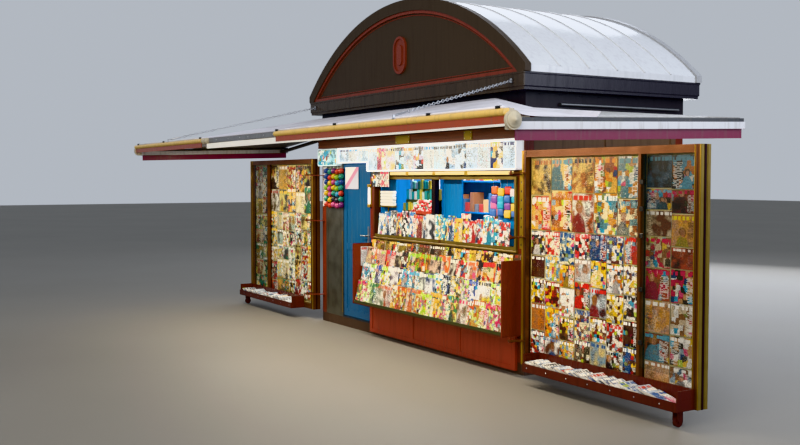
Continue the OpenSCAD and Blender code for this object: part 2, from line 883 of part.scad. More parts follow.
module left_wing_frame() {
    color("#7a4a2a") mirror([1, 0, 0]) wing_frame();
}

module left_wing_board() {
    color("#d8cdb4") mirror([1, 0, 0]) wing_board();
}

module left_wing_glass() {
    color("#bcd4cf", 0.35) mirror([1, 0, 0]) wing_glass();
}

module left_wing_tray() {
    color("#4b1f1a") mirror([1, 0, 0]) wing_tray();
}

// A flat panel of fabric over three or four points, given anticlockwise from above
module cloth(points) {
    n = len(points);
    polyhedron(
        points = concat(points, [for (p = points) p + [0, 0, fabric_t]]),
        faces = concat(
            [[for (i = [0 : n - 1]) i], [for (i = [n - 1 : -1 : 0]) n + i]],
            [for (i = [0 : n - 1]) [i, n + i, n + (i + 1) % n, (i + 1) % n]]));
}

// Fabric of the canopy: one slope to the front and a corner piece down to each side bar
module canopy_fabric() {
    side_x = canopy_half - bar_d / 2;
    edge_y = beam_y0 + beam_d / 2;
    corner_y = beam_y1 + 2;
    top_z = front_bar_z + flat;
    low_z = side_bar_z(corner_y) + fabric_rail_h + flat;
    back_z = side_bar_z(gusset_y) + fabric_rail_h + flat;
    wall_p = [fabric_wall_x, fabric_wall_y, canopy_wall_z];
    side_p = wall_p + [12, 0, 0];
    slope = (canopy_wall_z - top_z) / (fabric_wall_y - edge_y);
    color("#d5d3de") {
        cloth([
            [-fabric_wall_x, fabric_wall_y, canopy_wall_z], [-side_x, edge_y, top_z],
            [side_x, edge_y, top_z], wall_p]);
        for (side = [0, 1])
            mirror([side, 0, 0])
                polyhedron(
                    points = [
                        side_p, [side_x, corner_y, low_z], [side_x, gusset_y, back_z],
                        side_p + [0, 0, fabric_t],
                        [side_x, corner_y, top_z + fabric_t + slope * (corner_y - edge_y)],
                        [side_x, gusset_y, back_z + fabric_t]],
                    faces = [[0, 1, 2], [5, 4, 3], [0, 3, 4, 1], [1, 4, 5, 2], [2, 5, 3, 0]]);
    }
}

// Sheet roofs over the wings, from the cabin's sides down to the side bars
module side_roofs() {
    sheet_t = 5;
    inner_x = half_w + 3;
    outer_x = canopy_half - bar_d / 2;
    front_inner = front_y - 60;
    front_outer = gusset_y + 12;
    low = [
        [inner_x, front_inner, side_roof_z],
        [outer_x, front_outer, side_bar_z(front_outer) + fabric_rail_h + flat],
        [outer_x, canopy_back_y, side_bar_z(canopy_back_y) + fabric_rail_h + flat],
        [inner_x, canopy_back_y, side_roof_z]];
    color("#9b9a98")
    for (side = [0, 1])
        mirror([side, 0, 0])
            polyhedron(
                points = concat(low, [for (p = low) p + [0, 0, sheet_t]]),
                faces = [[0, 1, 2], [0, 2, 3], [6, 5, 4], [7, 6, 4],
                    [0, 4, 5, 1], [1, 5, 6, 2], [2, 6, 7, 3], [3, 7, 4, 0]]);
}

// Grey beam along the whole front of the canopy, with a round casting at each corner
module canopy_beam() {
    casting_l = bar_d + 24;
    color("#8f9296") {
        block([-canopy_half, beam_y0, front_bar_z - bar_h], [canopy_half, beam_y1, front_bar_z]);
        for (side = [0, 1])
            mirror([side, 0, 0])
                difference() {
                    translate([canopy_half - bar_d, (beam_y0 + beam_y1) / 2, front_bar_z - 12 - corner_r])
                        rotate([0, 90, 0])
                            cylinder(h = casting_l, r = corner_r, $fn = 48);
                    block([canopy_half - bar_d - 1, side_bar_y0, side_bar_front_z - 2 * bar_h],
                        [canopy_half, 0, front_bar_z]);
                    block([0, canopy_front_y, side_bar_front_z - 2 * bar_h],
                        [canopy_half, beam_y0, front_bar_z]);
                }
    }
}

// Section of a cream front bar, nose to the left, top at the origin's height
module bar_section() {
    union() {
        translate([-bar_d + bar_h / 2, -bar_h]) square([bar_d - bar_h / 2, bar_h]);
        intersection() {
            translate([-bar_d + bar_h / 2, -bar_h / 2]) circle(r = bar_h / 2, $fn = 48);
            translate([-bar_d, -bar_h]) square([bar_h / 2, bar_h]);
        }
    }
}

// A front bar with end caps and its hanging valance, from x0 to x1
module front_bar(x0, x1) {
    translate([x0, beam_y0, front_bar_z])
        rotate([90, 0, 90])
            linear_extrude(height = x1 - x0) bar_section();
    block([x0 + 14, beam_y0 - 20 - valance_t, front_bar_z - bar_h - front_valance_h],
        [x1 - 14, beam_y0 - 20, front_bar_z - bar_h]);
}

module front_bars() {
    color("#f0cf7a") {
        front_bar(canopy_half - bar_right_l, canopy_half);
        front_bar(-canopy_half, -canopy_half + bar_left_l);
    }
}

// One side bar: profile, fabric rail and valance, rising to the rear
module side_bar() {
    // A strip along the bar from y0 to y1, between two heights above the profile's top
    module strip(y0, y1, low, high) {
        polygon([
            [-y0, side_bar_z(y0) + low], [-y0, side_bar_z(y0) + high],
            [-y1, side_bar_z(y1) + high], [-y1, side_bar_z(y1) + low]]);
    }
    translate([canopy_half, 0, 0])
        rotate([90, 0, -90]) {
            linear_extrude(height = bar_d)
                strip(side_bar_y0, side_bar_y1, -bar_h - 4, 0);
            translate([0, 0, 12])
                linear_extrude(height = bar_d - 12)
                    strip(side_bar_y0, side_bar_y1, 0, fabric_rail_h);
            translate([0, 0, 16])
                linear_extrude(height = valance_t)
                    strip(side_bar_y0 + 20, side_bar_y1 - 20, -bar_h - side_valance_h, -bar_h);
        }
}

module side_bars() {
    color("#b9bac4")
    for (side = [0, 1]) mirror([side, 0, 0]) side_bar();
}

// Arms that carry the canopy, two to the front and two to the sides, and its wall rail
module canopy_arms() {
    wall_z = canopy_wall_z - 100;
    beam_z = front_bar_z - bar_h / 2;
    side_y = canopy_back_y - 60;
    side_z = side_bar_z(side_y);
    lamp_y = front_y - lamp_out;
    color("#77797c") {
        block([-fabric_wall_x - 30, fabric_wall_y - 10, canopy_wall_z - 33],
            [fabric_wall_x + 30, front_y, canopy_wall_z - rail_drop]);
        for (side = [0, 1])
            mirror([side, 0, 0]) {
                block([arm_x - 60, front_y - 40, wall_z - 70], [arm_x + 60, front_y, wall_z + 50]);
                rod([arm_x, front_y - 30, wall_z], [arm_x, beam_y1 + 30, beam_z - 6], arm_r);
                block([arm_x - 40, beam_y1, beam_z - bar_h / 2], [arm_x + 40, beam_y1 + 40, beam_z + 18]);
                block([arm_x - 14, lamp_y - 20, lamp_rail_z + lamp_rail_t],
                    [arm_x + 14, lamp_y + 20, lamp_rail_z + lamp_rail_t + 50]);
                block([half_w, side_y - 60, wall_z - 70], [half_w + 40, side_y + 60, wall_z - 10]);
                block([half_w, front_y - 40, side_roof_z - 20],
                    [half_w + 14, side_y - 70, side_roof_z - 1.5]);
                rod([half_w + 30, side_y, wall_z - 40],
                    [canopy_half - bar_d - 30, side_y, side_z - 30], arm_r);
                block([canopy_half - bar_d - 40, side_y - 40, side_z - bar_h],
                    [canopy_half - bar_d, side_y + 40, side_z - 6]);
            }
    }
}

// Stays from the cornice down to the front bars
module canopy_stays() {
    lug = 20;
    top = [half_w - 50, -roof_d / 2 - 14, cornice_z + cornice_h * 0.5];
    foot = [half_w + 670, canopy_front_y + bar_d / 2, front_bar_z + 30];
    color("#c8c9cc")
    for (side = [0, 1])
        mirror([side, 0, 0]) {
            block(top - [lug, 12, lug], [top[0] + lug, -roof_d / 2 + 5, top[2] + lug]);
            rod(top, foot, stay_r);
            block([foot[0] - lug, foot[1] - 15, front_bar_z], foot + [lug, 15, 14]);
        }
}

// Rail with round lamps under the canopy
module lamp_rail() {
    y = front_y - lamp_out;
    half_l = (lamp_count - 1) / 2 * lamp_pitch;
    color("#e9e6dc") {
        block([-half_l - 120, y - 40, lamp_rail_z], [half_l + 120, y + 40, lamp_rail_z + lamp_rail_t]);
        for (i = [0 : lamp_count - 1])
            translate([i * lamp_pitch - half_l, y, lamp_rail_z - 22])
                cylinder(h = 24, r = lamp_r, $fn = 48);
    }
}

// Light cassettes along the band at both sides
module side_cassettes() {
    color("#b7b4ae")
    for (side = [0, 1])
        mirror([side, 0, 0])
            translate([half_w, front_y + 390, wall_top + 78])
                rotate([-90, 0, 0])
                    linear_extrude(height = body_d - 480)
                        union() {
                            translate([0, -14]) square([22, 28]);
                            translate([22, 0]) circle(r = 14, $fn = 32);
                        }
}

base_frame();
floor_deck();
rear_wall();
side_walls();
corner_posts();
counter_wall();
base_panel();
header_wall();
counter_post();
steel_column();
ceiling();
roof_band();
cornice();
roof_vault();
gables();
gable_trim();
fascia();
lit_display();
opening_frame();
counter_board();
service_panels();
display_tiers();
tier_lips();
tier_cheeks();
column_header();
door_frame();
canopy_fabric();
side_roofs();
canopy_beam();
front_bars();
side_bars();
canopy_arms();
canopy_stays();
lamp_rail();
side_cassettes();
door_leaf();
door_handle();
right_wing_frame();
right_wing_board();
right_wing_glass();
right_wing_tray();
left_wing_frame();
left_wing_board();
left_wing_glass();
left_wing_tray();
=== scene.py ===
# Looks of a street kiosk for newspapers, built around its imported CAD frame. Metres, X right, Y rear, Z up.
import math

import bmesh
import bpy
import numpy as np
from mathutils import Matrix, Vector


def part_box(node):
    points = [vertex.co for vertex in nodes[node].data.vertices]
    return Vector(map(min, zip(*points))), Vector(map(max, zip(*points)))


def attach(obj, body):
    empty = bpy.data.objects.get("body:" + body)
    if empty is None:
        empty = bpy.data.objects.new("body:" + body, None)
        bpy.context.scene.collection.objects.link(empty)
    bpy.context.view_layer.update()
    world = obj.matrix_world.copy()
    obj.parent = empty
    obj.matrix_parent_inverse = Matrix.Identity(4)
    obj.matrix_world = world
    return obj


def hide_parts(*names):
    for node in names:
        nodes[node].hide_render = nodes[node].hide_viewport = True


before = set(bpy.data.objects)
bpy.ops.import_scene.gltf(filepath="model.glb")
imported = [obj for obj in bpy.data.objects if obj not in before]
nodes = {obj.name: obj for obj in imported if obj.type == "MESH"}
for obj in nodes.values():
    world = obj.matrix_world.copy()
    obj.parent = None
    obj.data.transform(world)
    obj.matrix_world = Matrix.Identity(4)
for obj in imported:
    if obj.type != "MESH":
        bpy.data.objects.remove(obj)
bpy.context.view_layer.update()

# Places that several pieces share, read from the frame
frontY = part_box("header_wall")[0].y
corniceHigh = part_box("cornice")[1]
gableLow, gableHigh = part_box("gables")
tierLow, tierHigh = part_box("display_tiers")
openLow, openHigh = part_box("opening_frame")
showLow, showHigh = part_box("lit_display")
wingLow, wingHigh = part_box("right_wing_frame")
boardLow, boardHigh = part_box("right_wing_board")
glassLow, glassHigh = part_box("right_wing_glass")
trayLow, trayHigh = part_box("right_wing_tray")
beamLow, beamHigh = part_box("canopy_beam")
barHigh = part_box("front_bars")[1]
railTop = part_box("side_bars")[1].z  # rear end of the rail on the side bars
lampLow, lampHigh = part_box("lamp_rail")
headLow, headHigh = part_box("column_header")
print("frame read:", len(nodes), "nodes")

# Camera at the photograph's place, and the studio around the kiosk
studio = {
    "eye": (9.035, -6.508, 1.80), "heading": (-0.857, 0.514), "pitchDown": 2.6, "lens": 43.9,
    "floorTone": "#77746e", "floorCloud": "#827f79", "floorHalf": 60.0,
    "skyTone": "#dfe6f0", "skyStrength": 0.7, "exposure": -0.1,
    "lights": [  # name, place, aim, width and height in metres, watts, tone
        ("keyLight", (7.5, -10.0, 6.5), (0.0, -1.0, 1.4), (7.0, 7.0), 760, "#fff6e8"),
        ("fillLight", (11.0, 3.5, 6.0), (1.0, 0.0, 1.6), (7.0, 7.0), 620, "#eaf1ff"),
        ("backLight", (-8.0, 7.5, 7.5), (0.0, 0.0, 1.6), (7.0, 7.0), 480, "#eef3ff"),
        ("rearWash", (-3.5, 10.5, 2.4), (0.0, 1.0, 1.3), (6.0, 2.5), 330, "#eef2fa"),
        ("underCanopy", (0.0, -2.02, 2.17), (0.0, -1.78, 0.0), (6.8, 0.12), 165, "#fff0d6"),
        ("roomGlow", (0.3, 0.1, 2.34), (0.3, 0.1, 1.0), (3.0, 0.6), 180, "#f4f8ff"),
    ],
}


# sRGB hex to linear: c / 12.92 in the dark end, else ((c + 0.055) / 1.055) ^ 2.4
def toLinear(tone):
    parts = [int(tone[i:i + 2], 16) / 255 for i in (1, 3, 5)]
    return tuple(c / 12.92 if c <= 0.04045 else ((c + 0.055) / 1.055) ** 2.4 for c in parts) + (1.0,)


# Gives a node its values: a socket is linked, a hex tone made linear; keys are properties or inputs
def fillNode(node, values):
    for key, value in values.items():
        if isinstance(value, bpy.types.NodeSocket):
            node.id_data.links.new(value, node.inputs[key])
            continue
        if isinstance(value, str) and value.startswith("#"):
            value = toLinear(value)
        if isinstance(key, str) and hasattr(node, key):
            setattr(node, key, value)
        else:
            node.inputs[key].default_value = value


# Adds a node with its values and returns one output, or all of them for None. A second word in kind is the
# operation or the type of data
def addNode(tree, kind, values=None, out=0):
    kind, mode = (kind.split() + [None])[:2]
    node = tree.nodes.new("ShaderNode" + kind)
    if mode:
        setattr(node, "operation" if hasattr(node, "operation") else "data_type", mode)
    fillNode(node, values or {})
    return node.outputs if out is None else node.outputs[out]


# A material with its principled shader's own sockets set, and a short way to add nodes to it
def newMaterial(name, values):
    material = bpy.data.materials.new(name)
    material.use_nodes = True
    tree = material.node_tree
    shader = tree.nodes["Principled BSDF"]
    fillNode(shader, values)
    return material, lambda kind, values=None, out=0: addNode(tree, kind, values, out), shader


# Puts an object in the scene, at place and looking along aim where they are given
def placeObject(name, data, place=None, aim=None):
    item = bpy.data.objects.new(name, data)
    bpy.context.scene.collection.objects.link(item)
    if place:
        item.location = place
        item.rotation_mode = "QUATERNION"
        item.rotation_quaternion = aim.to_track_quat("-Z", "Y")
    return item


def makeStudio():
    heading = math.hypot(*studio["heading"])
    pitch = math.radians(studio["pitchDown"])
    aim = Vector((studio["heading"][0] / heading * math.cos(pitch),
                  studio["heading"][1] / heading * math.cos(pitch), -math.sin(pitch)))
    eye = bpy.data.cameras.new("photoCamera")
    eye.lens, eye.sensor_width, eye.clip_end = studio["lens"], 36.0, 300.0
    bpy.context.scene.camera = placeObject("photoCamera", eye, studio["eye"], aim)

    half = studio["floorHalf"]
    ground = bpy.data.meshes.new("studioFloor")
    ground.from_pydata([(-half, -half, 0), (half, -half, 0), (half, half, 0), (-half, half, 0)], [], [(0, 1, 2, 3)])
    paint, add, shader = newMaterial("studioFloorPaint", {"Roughness": 0.62, "Specular IOR Level": 0.3})
    cloud = add("TexNoise", {"Scale": 0.35, "Detail": 3.0, "Vector": add("TexCoord", out="Object")})
    tone = add("Mix RGBA", {0: cloud, 6: studio["floorTone"], 7: studio["floorCloud"]}, 2)
    fillNode(shader, {"Base Color": tone})
    ground.materials.append(paint)
    floor = placeObject("studioFloor", ground)

    world = bpy.data.worlds.new("studioSky")
    world.use_nodes = True
    fillNode(world.node_tree.nodes["Background"], {"Color": studio["skyTone"], "Strength": studio["skyStrength"]})
    bpy.context.scene.world = world
    for name, place, target, (width, height), watts, tone in studio["lights"]:
        lamp = bpy.data.lights.new(name, "AREA")
        lamp.shape, lamp.size, lamp.size_y = "RECTANGLE", width, height
        lamp.energy, lamp.color = watts, toLinear(tone)[:3]
        placeObject(name, lamp, place, Vector(target) - Vector(place)).visible_camera = False


makeStudio()
bpy.context.scene.view_settings.view_transform = "Khronos PBR Neutral"
bpy.context.scene.view_settings.exposure = studio["exposure"]
print("studio ready")


# Other tones on parts of a piece: each zone is tone, axis, low, high, with X from the middle to both sides
def coatZones(add, place, base, zones):
    for tone, axis, low, high in zones:
        part = add("SeparateXYZ", {"Vector": place}, axis)
        if axis == "X":
            part = add("Math ABSOLUTE", {0: part})
        mask = add("Math COMPARE", {0: part, 1: (low + high) / 2, 2: (high - low) / 2})
        base = add("Mix RGBA", {0: mask, 6: base, 7: tone}, 2)
    return base


# Noise of a size in millimetres, and the mask that it gives: none under low, as much as top from high on
def noiseMask(add, place, sizeMm, detail, low, high, top, **more):
    noise = add("TexNoise", {"Scale": 1000 / sizeMm, "Detail": detail, "Vector": place, **more})
    return noise, add("MapRange", {"From Min": low, "From Max": high, "To Max": top, "Value": noise})


# Painted steel sheet: a satin coat that fades in soft clouds, with rain streaks down it, grime towards
# its foot and small chips; the orange peel of the spray is a few millimetres across
def paintedSteel(name, coat, grime, gloss=0.42, streaks=0.5, footHeight=0.45, fade=0.12, peelMm=3.0, zones=(),
                 shine=0.32, chips=1.0):
    material, add, shader = newMaterial(name, {"Metallic": 0.0, "IOR": 1.45, "Coat Weight": 0.06,
                                               "Coat Roughness": 0.25, "Specular IOR Level": shine})
    place = add("TexCoord", out="Object")
    cloud = add("TexNoise", {"Scale": 1000 / 420, "Detail": 4.0, "Vector": place})
    tall = add("Mapping", {"Scale": (1.0, 1.0, 0.07), "Vector": place})
    rainMask = noiseMask(add, tall, 45, 5.0, 0.48, 0.78, streaks, Roughness=0.6)[1]
    height = add("SeparateXYZ", {"Vector": place}, "Z")
    foot = add("MapRange", {"From Max": footHeight, "To Min": 0.5, "To Max": 0.0, "Value": height})
    footMask = add("Math MULTIPLY", {0: foot, 1: cloud})
    dirt = add("Math ADD", {"use_clamp": True, 0: rainMask, 1: footMask})
    light = toLinear(coat)
    faded = tuple(min(1.0, c * (1 + fade) + fade * 0.015) for c in light[:3]) + (1.0,)
    base = coatZones(add, place, add("Mix RGBA", {0: cloud, 6: light, 7: faded}, 2), zones)
    colour = add("Mix RGBA", {0: dirt, 6: base, 7: grime}, 2)
    chipMask = noiseMask(add, place, 16, 3.0, 0.735, 0.76, chips)[1]
    worn = add("Mix RGBA", {0: chipMask, 6: colour, 7: "#6e5e52"}, 2)
    rough = add("MapRange", {"To Min": gloss - 0.08, "To Max": gloss + 0.2, "Value": dirt})
    peel = add("TexNoise", {"Scale": 1000 / peelMm, "Detail": 2.0, "Vector": place})
    dents = add("TexNoise", {"Scale": 1000 / 230, "Detail": 1.0, "Vector": place})
    wavy = add("Bump", {"Strength": 0.35, "Distance": 0.004, "Height": dents})
    bump = add("Bump", {"Strength": 0.12, "Distance": 0.0006, "Height": peel, "Normal": wavy})
    fillNode(shader, {"Base Color": worn, "Roughness": rough, "Normal": bump})
    return material


# Extruded metal, anodised or brushed: fine draw lines along its length and finger and rain marks
def drawnMetal(name, tone, shade, along="X", rough=0.34, metal=1.0, dull=0.35, zones=()):
    material, add, shader = newMaterial(name, {"Metallic": metal})
    place = add("TexCoord", out="Object")
    stretch = {"X": (0.02, 1, 1), "Y": (1, 0.02, 1), "Z": (1, 1, 0.02)}[along]
    lengthwise = add("Mapping", {"Scale": stretch, "Vector": place})
    line = add("TexNoise", {"Scale": 1000 / 4, "Detail": 4.0, "Vector": lengthwise})
    cloud, mask = noiseMask(add, place, 160, 5.0, 0.42, 0.75, dull)
    darker = tuple(c * 0.82 for c in toLinear(tone)[:3]) + (1.0,)
    lined = coatZones(add, place, add("Mix RGBA", {0: line, 6: tone, 7: darker}, 2), zones)
    fillNode(shader, {
        "Base Color": add("Mix RGBA", {0: mask, 6: lined, 7: shade}, 2),
        "Roughness": add("MapRange", {"To Min": rough - 0.08, "To Max": rough + 0.16, "Value": cloud}),
        "Normal": add("Bump", {"Strength": 0.1, "Distance": 0.0004, "Height": line})})
    return material


# Powder-coated profile over a painted valance: the coat changes below a plane z = level + slope (y - start),
# and above a second plane, rise higher, it is the dark rail that holds the cloth
def layeredProfile(name, upper, lower, level, slope=0.0, start=0.0, rail="#4a4b50", rise=1.0):
    material, add, shader = newMaterial(name, {"Coat Weight": 0.3, "Coat Roughness": 0.15, "IOR": 1.5})
    place = add("TexCoord", out="Object")
    y, z = list(add("SeparateXYZ", {"Vector": place}, None))[1:]
    plane = add("Math MULTIPLY_ADD", {0: y, 1: slope, 2: level - slope * start})
    above = add("Math GREATER_THAN", {0: z, 1: plane})
    onTop = add("Math GREATER_THAN", {0: z, 1: add("Math ADD", {0: plane, 1: rise})})
    pair = add("Mix RGBA", {0: above, 6: lower, 7: upper}, 2)
    base = add("Mix RGBA", {0: onTop, 6: pair, 7: rail}, 2)
    tall = add("Mapping", {"Scale": (1.0, 1.0, 0.12), "Vector": place})
    rain, mask = noiseMask(add, tall, 35, 5.0, 0.52, 0.8, 0.4)
    peel = add("TexNoise", {"Scale": 1000 / 2.5, "Vector": place})
    fillNode(shader, {"Base Color": add("Mix RGBA", {0: mask, 6: base, 7: "#6f675e"}, 2),
                      "Roughness": add("MapRange", {"To Min": 0.3, "To Max": 0.6, "Value": rain}),
                      "Normal": add("Bump", {"Strength": 0.12, "Distance": 0.0005, "Height": peel})})
    return material


# Varnished boards: grain rings stretched along X, darker in the joints, with a worn film of varnish
def varnishedWood(name, light, dark, boardMm=32.0):
    material, add, shader = newMaterial(name, {"Coat Weight": 0.15, "Coat Roughness": 0.25, "IOR": 1.45})
    place = add("TexCoord", out="Object")
    grainPlace = add("Mapping", {"Scale": (0.05, 1.0, 1.0), "Vector": place})
    warp = add("TexNoise", {"Scale": 1000 / 60, "Detail": 6.0, "Distortion": 0.6, "Vector": grainPlace})
    fibre = add("TexNoise", {"Scale": 1000 / 5, "Detail": 3.0, "Vector": grainPlace})
    grain = add("Math MULTIPLY_ADD", {0: fibre, 1: 0.35, 2: warp})
    share = add("MapRange", {"From Min": 0.45, "From Max": 0.85, "Value": grain})
    colour = add("Mix RGBA", {0: share, 6: light, 7: dark}, 2)
    height = add("SeparateXYZ", {"Vector": place}, "Z")
    board = add("Math PINGPONG", {0: height, 1: 0.5 * boardMm / 1000})
    joint = add("MapRange", {"From Max": 0.0015, "To Min": 0.7, "To Max": 0.0, "Value": board})
    fillNode(shader, {"Base Color": add("Mix RGBA", {0: joint, 6: colour, 7: "#1d0f0a"}, 2),
                      "Roughness": add("MapRange", {"To Min": 0.3, "To Max": 0.55, "Value": grain}),
                      "Normal": add("Bump", {"Strength": 0.2, "Distance": 0.0008, "Height": grain})})
    return material


# Opal acrylic lit from behind: almost even light with dust, a little glow and a polished face. The brass hand rail
# takes it too, and there the glow is a painted highlight
def opalPlastic(name, tone, glow, dust="#b9b4a6"):
    material, add, shader = newMaterial(name, {"IOR": 1.49, "Roughness": 0.22, "Emission Strength": glow,
                                               "Emission Color": tone})
    mask = noiseMask(add, add("TexCoord", out="Object"), 90, 5.0, 0.5, 0.85, 0.4)[1]
    fillNode(shader, {"Base Color": add("Mix RGBA", {0: mask, 6: tone, 7: dust}, 2)})
    return material


# PVC-coated canopy cloth: plain weave 2 mm drawn at 9 mm so that it shows, damp dirt in the folds
def coatedCloth(name, tone, grime):
    material, add, shader = newMaterial(name, {"Sheen Weight": 0.15, "IOR": 1.5, "Specular IOR Level": 0.4})
    place = add("TexCoord", out="Object")
    cloud, mask = noiseMask(add, place, 380, 6.0, 0.46, 0.8, 0.75)
    weft, warp = (add("TexWave", {"bands_direction": way, "Scale": 1000 / 9 / 6.283, "Vector": place}, "Fac")
                  for way in "XY")
    weave = add("Math MAXIMUM", {0: weft, 1: warp})
    fillNode(shader, {"Base Color": add("Mix RGBA", {0: mask, 6: tone, 7: grime}, 2),
                      "Roughness": add("MapRange", {"To Min": 0.45, "To Max": 0.7, "Value": cloud}),
                      "Normal": add("Bump", {"Strength": 0.15, "Distance": 0.0008, "Height": weave})})
    return material


# Clear float glass: mostly open, with dust that takes away a little of its gloss
def clearGlass(name, tone):
    material, add, shader = newMaterial(name, {"IOR": 1.52, "Base Color": tone, "Alpha": 0.14,
                                               "Specular IOR Level": 1.0})
    rough = noiseMask(add, add("TexCoord", out="Object"), 14, 4.0, 0.55, 0.8, 0.2)[1]
    fillNode(rough.node, {"To Min": 0.02})
    fillNode(shader, {"Roughness": rough})
    return material


# Tones of the blocks in a collage of print
printTones = ["#2a211d", "#7f8b4c", "#efe6d2", "#2f9fc4", "#b5c93a", "#d8507a", "#c22f26", "#e8bd2c", "#28406e",
              "#f6f5f1", "#7a4a36", "#8fa3ae"]


# Printed paper. Each copy has a layout of its own by chance: a collage of blocks of print tones, or one soft
# picture; on some a plain figure with no features; a title of letter blocks and dashes in place of small type.
# The fields on the mesh give each copy its place in metres with its own number as third part, its share of
# width, height and depth, and its tones
def printedPaper(name, gloss=0.3, partMm=58.0, figures=0.35, collage=0.6, lines=0.6, glow=0.0):
    material, add, shader = newMaterial(name, {"IOR": 1.5, "Roughness": gloss, "Specular IOR Level": 0.4})
    place, share = (add("Attribute", {"attribute_name": field}, "Vector") for field in ("copyPlace", "copyShare"))
    ground, accent, picture = (add("Attribute", {"attribute_name": field})
                               for field in ("copyGround", "copyAccent", "copyPicture"))
    wide, tall, deep = add("SeparateXYZ", {"Vector": share}, None)
    own = add("SeparateXYZ", {"Vector": place}, "Z")
    dice = add("TexWhiteNoise", {"noise_dimensions": "1D", "W": own}, "Color")
    chanceOne, chanceTwo, chanceThree = add("SeparateColor", {"Color": dice}, None)
    cells = add("TexVoronoi", {"distance": "CHEBYCHEV", "Scale": 1000 / partMm, "Randomness": 0.75,
                               "Vector": place}, "Color")
    pick, pickOther = list(add("SeparateColor", {"Color": cells}, None))[:2]
    blocks = add("ValToRGB", {"Fac": pick})
    ramp = blocks.node.color_ramp
    ramp.interpolation = "CONSTANT"
    for i, tone in enumerate(printTones):
        stop = ramp.elements[0] if i == 0 else ramp.elements.new(i / len(printTones))
        stop.color = toLinear(tone)
    for middle, tone in ((0.15, ground), (0.42, picture), (0.62, accent)):
        near = add("Math COMPARE", {0: pickOther, 1: middle, 2: 0.14})
        blocks = add("Mix RGBA", {0: near, 6: blocks, 7: tone}, 2)
    clouds = add("TexNoise", {"Scale": 1000 / 85, "Detail": 1.5, "Vector": place}, None)
    softMask = add("MapRange", {"From Min": 0.4, "From Max": 0.6, "Value": clouds["Fac"]})
    soft = add("Mix RGBA", {0: softMask, 6: ground, 7: picture}, 2)
    drawn = add("Mix RGBA", {0: add("Math LESS_THAN", {0: chanceOne, 1: collage}), 6: soft, 7: blocks}, 2)
    if figures:
        bent = add("Mix VECTOR", {0: 0.14, 4: share, 5: clouds["Color"]}, 1)
        size = add("Math FRACT", {0: add("Math MULTIPLY", {0: own, 1: 3.7})})
        zoom = add("Math MULTIPLY_ADD", {0: size, 1: 0.6, 2: 0.8})
        middle = add("CombineXYZ", {"X": add("Math MULTIPLY_ADD", {0: zoom, 1: -0.5, 2: 0.5})})
        shift = add("CombineXYZ", {"X": add("Math MULTIPLY_ADD", {0: chanceTwo, 1: 0.5, 2: -0.25}),
                                   "Y": add("Math MULTIPLY_ADD", {0: chanceOne, 1: 0.3, 2: -0.1})})
        point = add("VectorMath ADD", {0: add("VectorMath MULTIPLY_ADD", {0: bent, 1: zoom, 2: middle}), 1: shift})
        chosen = add("Math LESS_THAN", {0: chanceThree, 1: figures})
        hair = add("Mix RGBA", {0: chanceTwo, 6: "#17110e", 7: "#a8763c"}, 2)
        skin = add("Mix RGBA", {0: chanceOne, 6: "#dca684", 7: "#8a5638"}, 2)
        clothes = add("Mix RGBA", {0: add("Math FRACT", {0: own}), 6: accent, 7: "#2c2a30"}, 2)
        # mask of an ellipse: |(point - centre) / radii| < 1
        for centre, radii, tone in (((0.5, 0.08, 0), (0.27, 0.5), clothes), ((0.5, 0.66, 0), (0.135, 0.14), hair),
                                    ((0.52, 0.63, 0), (0.08, 0.11), skin)):
            moved = add("VectorMath SUBTRACT", {0: point, 1: centre})
            scaled = add("VectorMath MULTIPLY", {0: moved, 1: (1 / radii[0], 1 / radii[1], 0.0)})
            reach = add("VectorMath LENGTH", {0: scaled}, "Value")
            inside = add("MapRange", {"From Min": 1.0, "From Max": 0.88, "Value": reach})
            drawn = add("Mix RGBA", {0: add("Math MULTIPLY", {0: chosen, 1: inside}), 6: drawn, 7: tone}, 2)
    grain = add("TexNoise", {"Scale": 1000 / 12, "Detail": 3.0, "Vector": place})
    shade = add("MapRange", {"From Min": 0.3, "From Max": 0.7, "To Min": 0.42, "To Max": 1.12, "Value": grain})
    drawn = add("VectorMath SCALE", {0: drawn, "Scale": shade})
    # title: letters are the middles of one-dimensional cells along the width
    letters = add("TexVoronoi", {"voronoi_dimensions": "1D", "Scale": 7.0, "W": add("Math ADD", {0: wide, 1: own})})
    title = add("Math MULTIPLY", {0: add("Math COMPARE", {0: tall, 1: 0.89, 2: 0.06}),
                                  1: add("Math LESS_THAN", {0: letters, 1: 0.34})})
    ink = add("Mix RGBA", {0: add("Math GREATER_THAN", {0: chanceThree, 1: 0.7}), 6: accent, 7: "#f4f2ea"}, 2)
    printed = add("Mix RGBA", {0: title, 6: drawn, 7: ink}, 2)
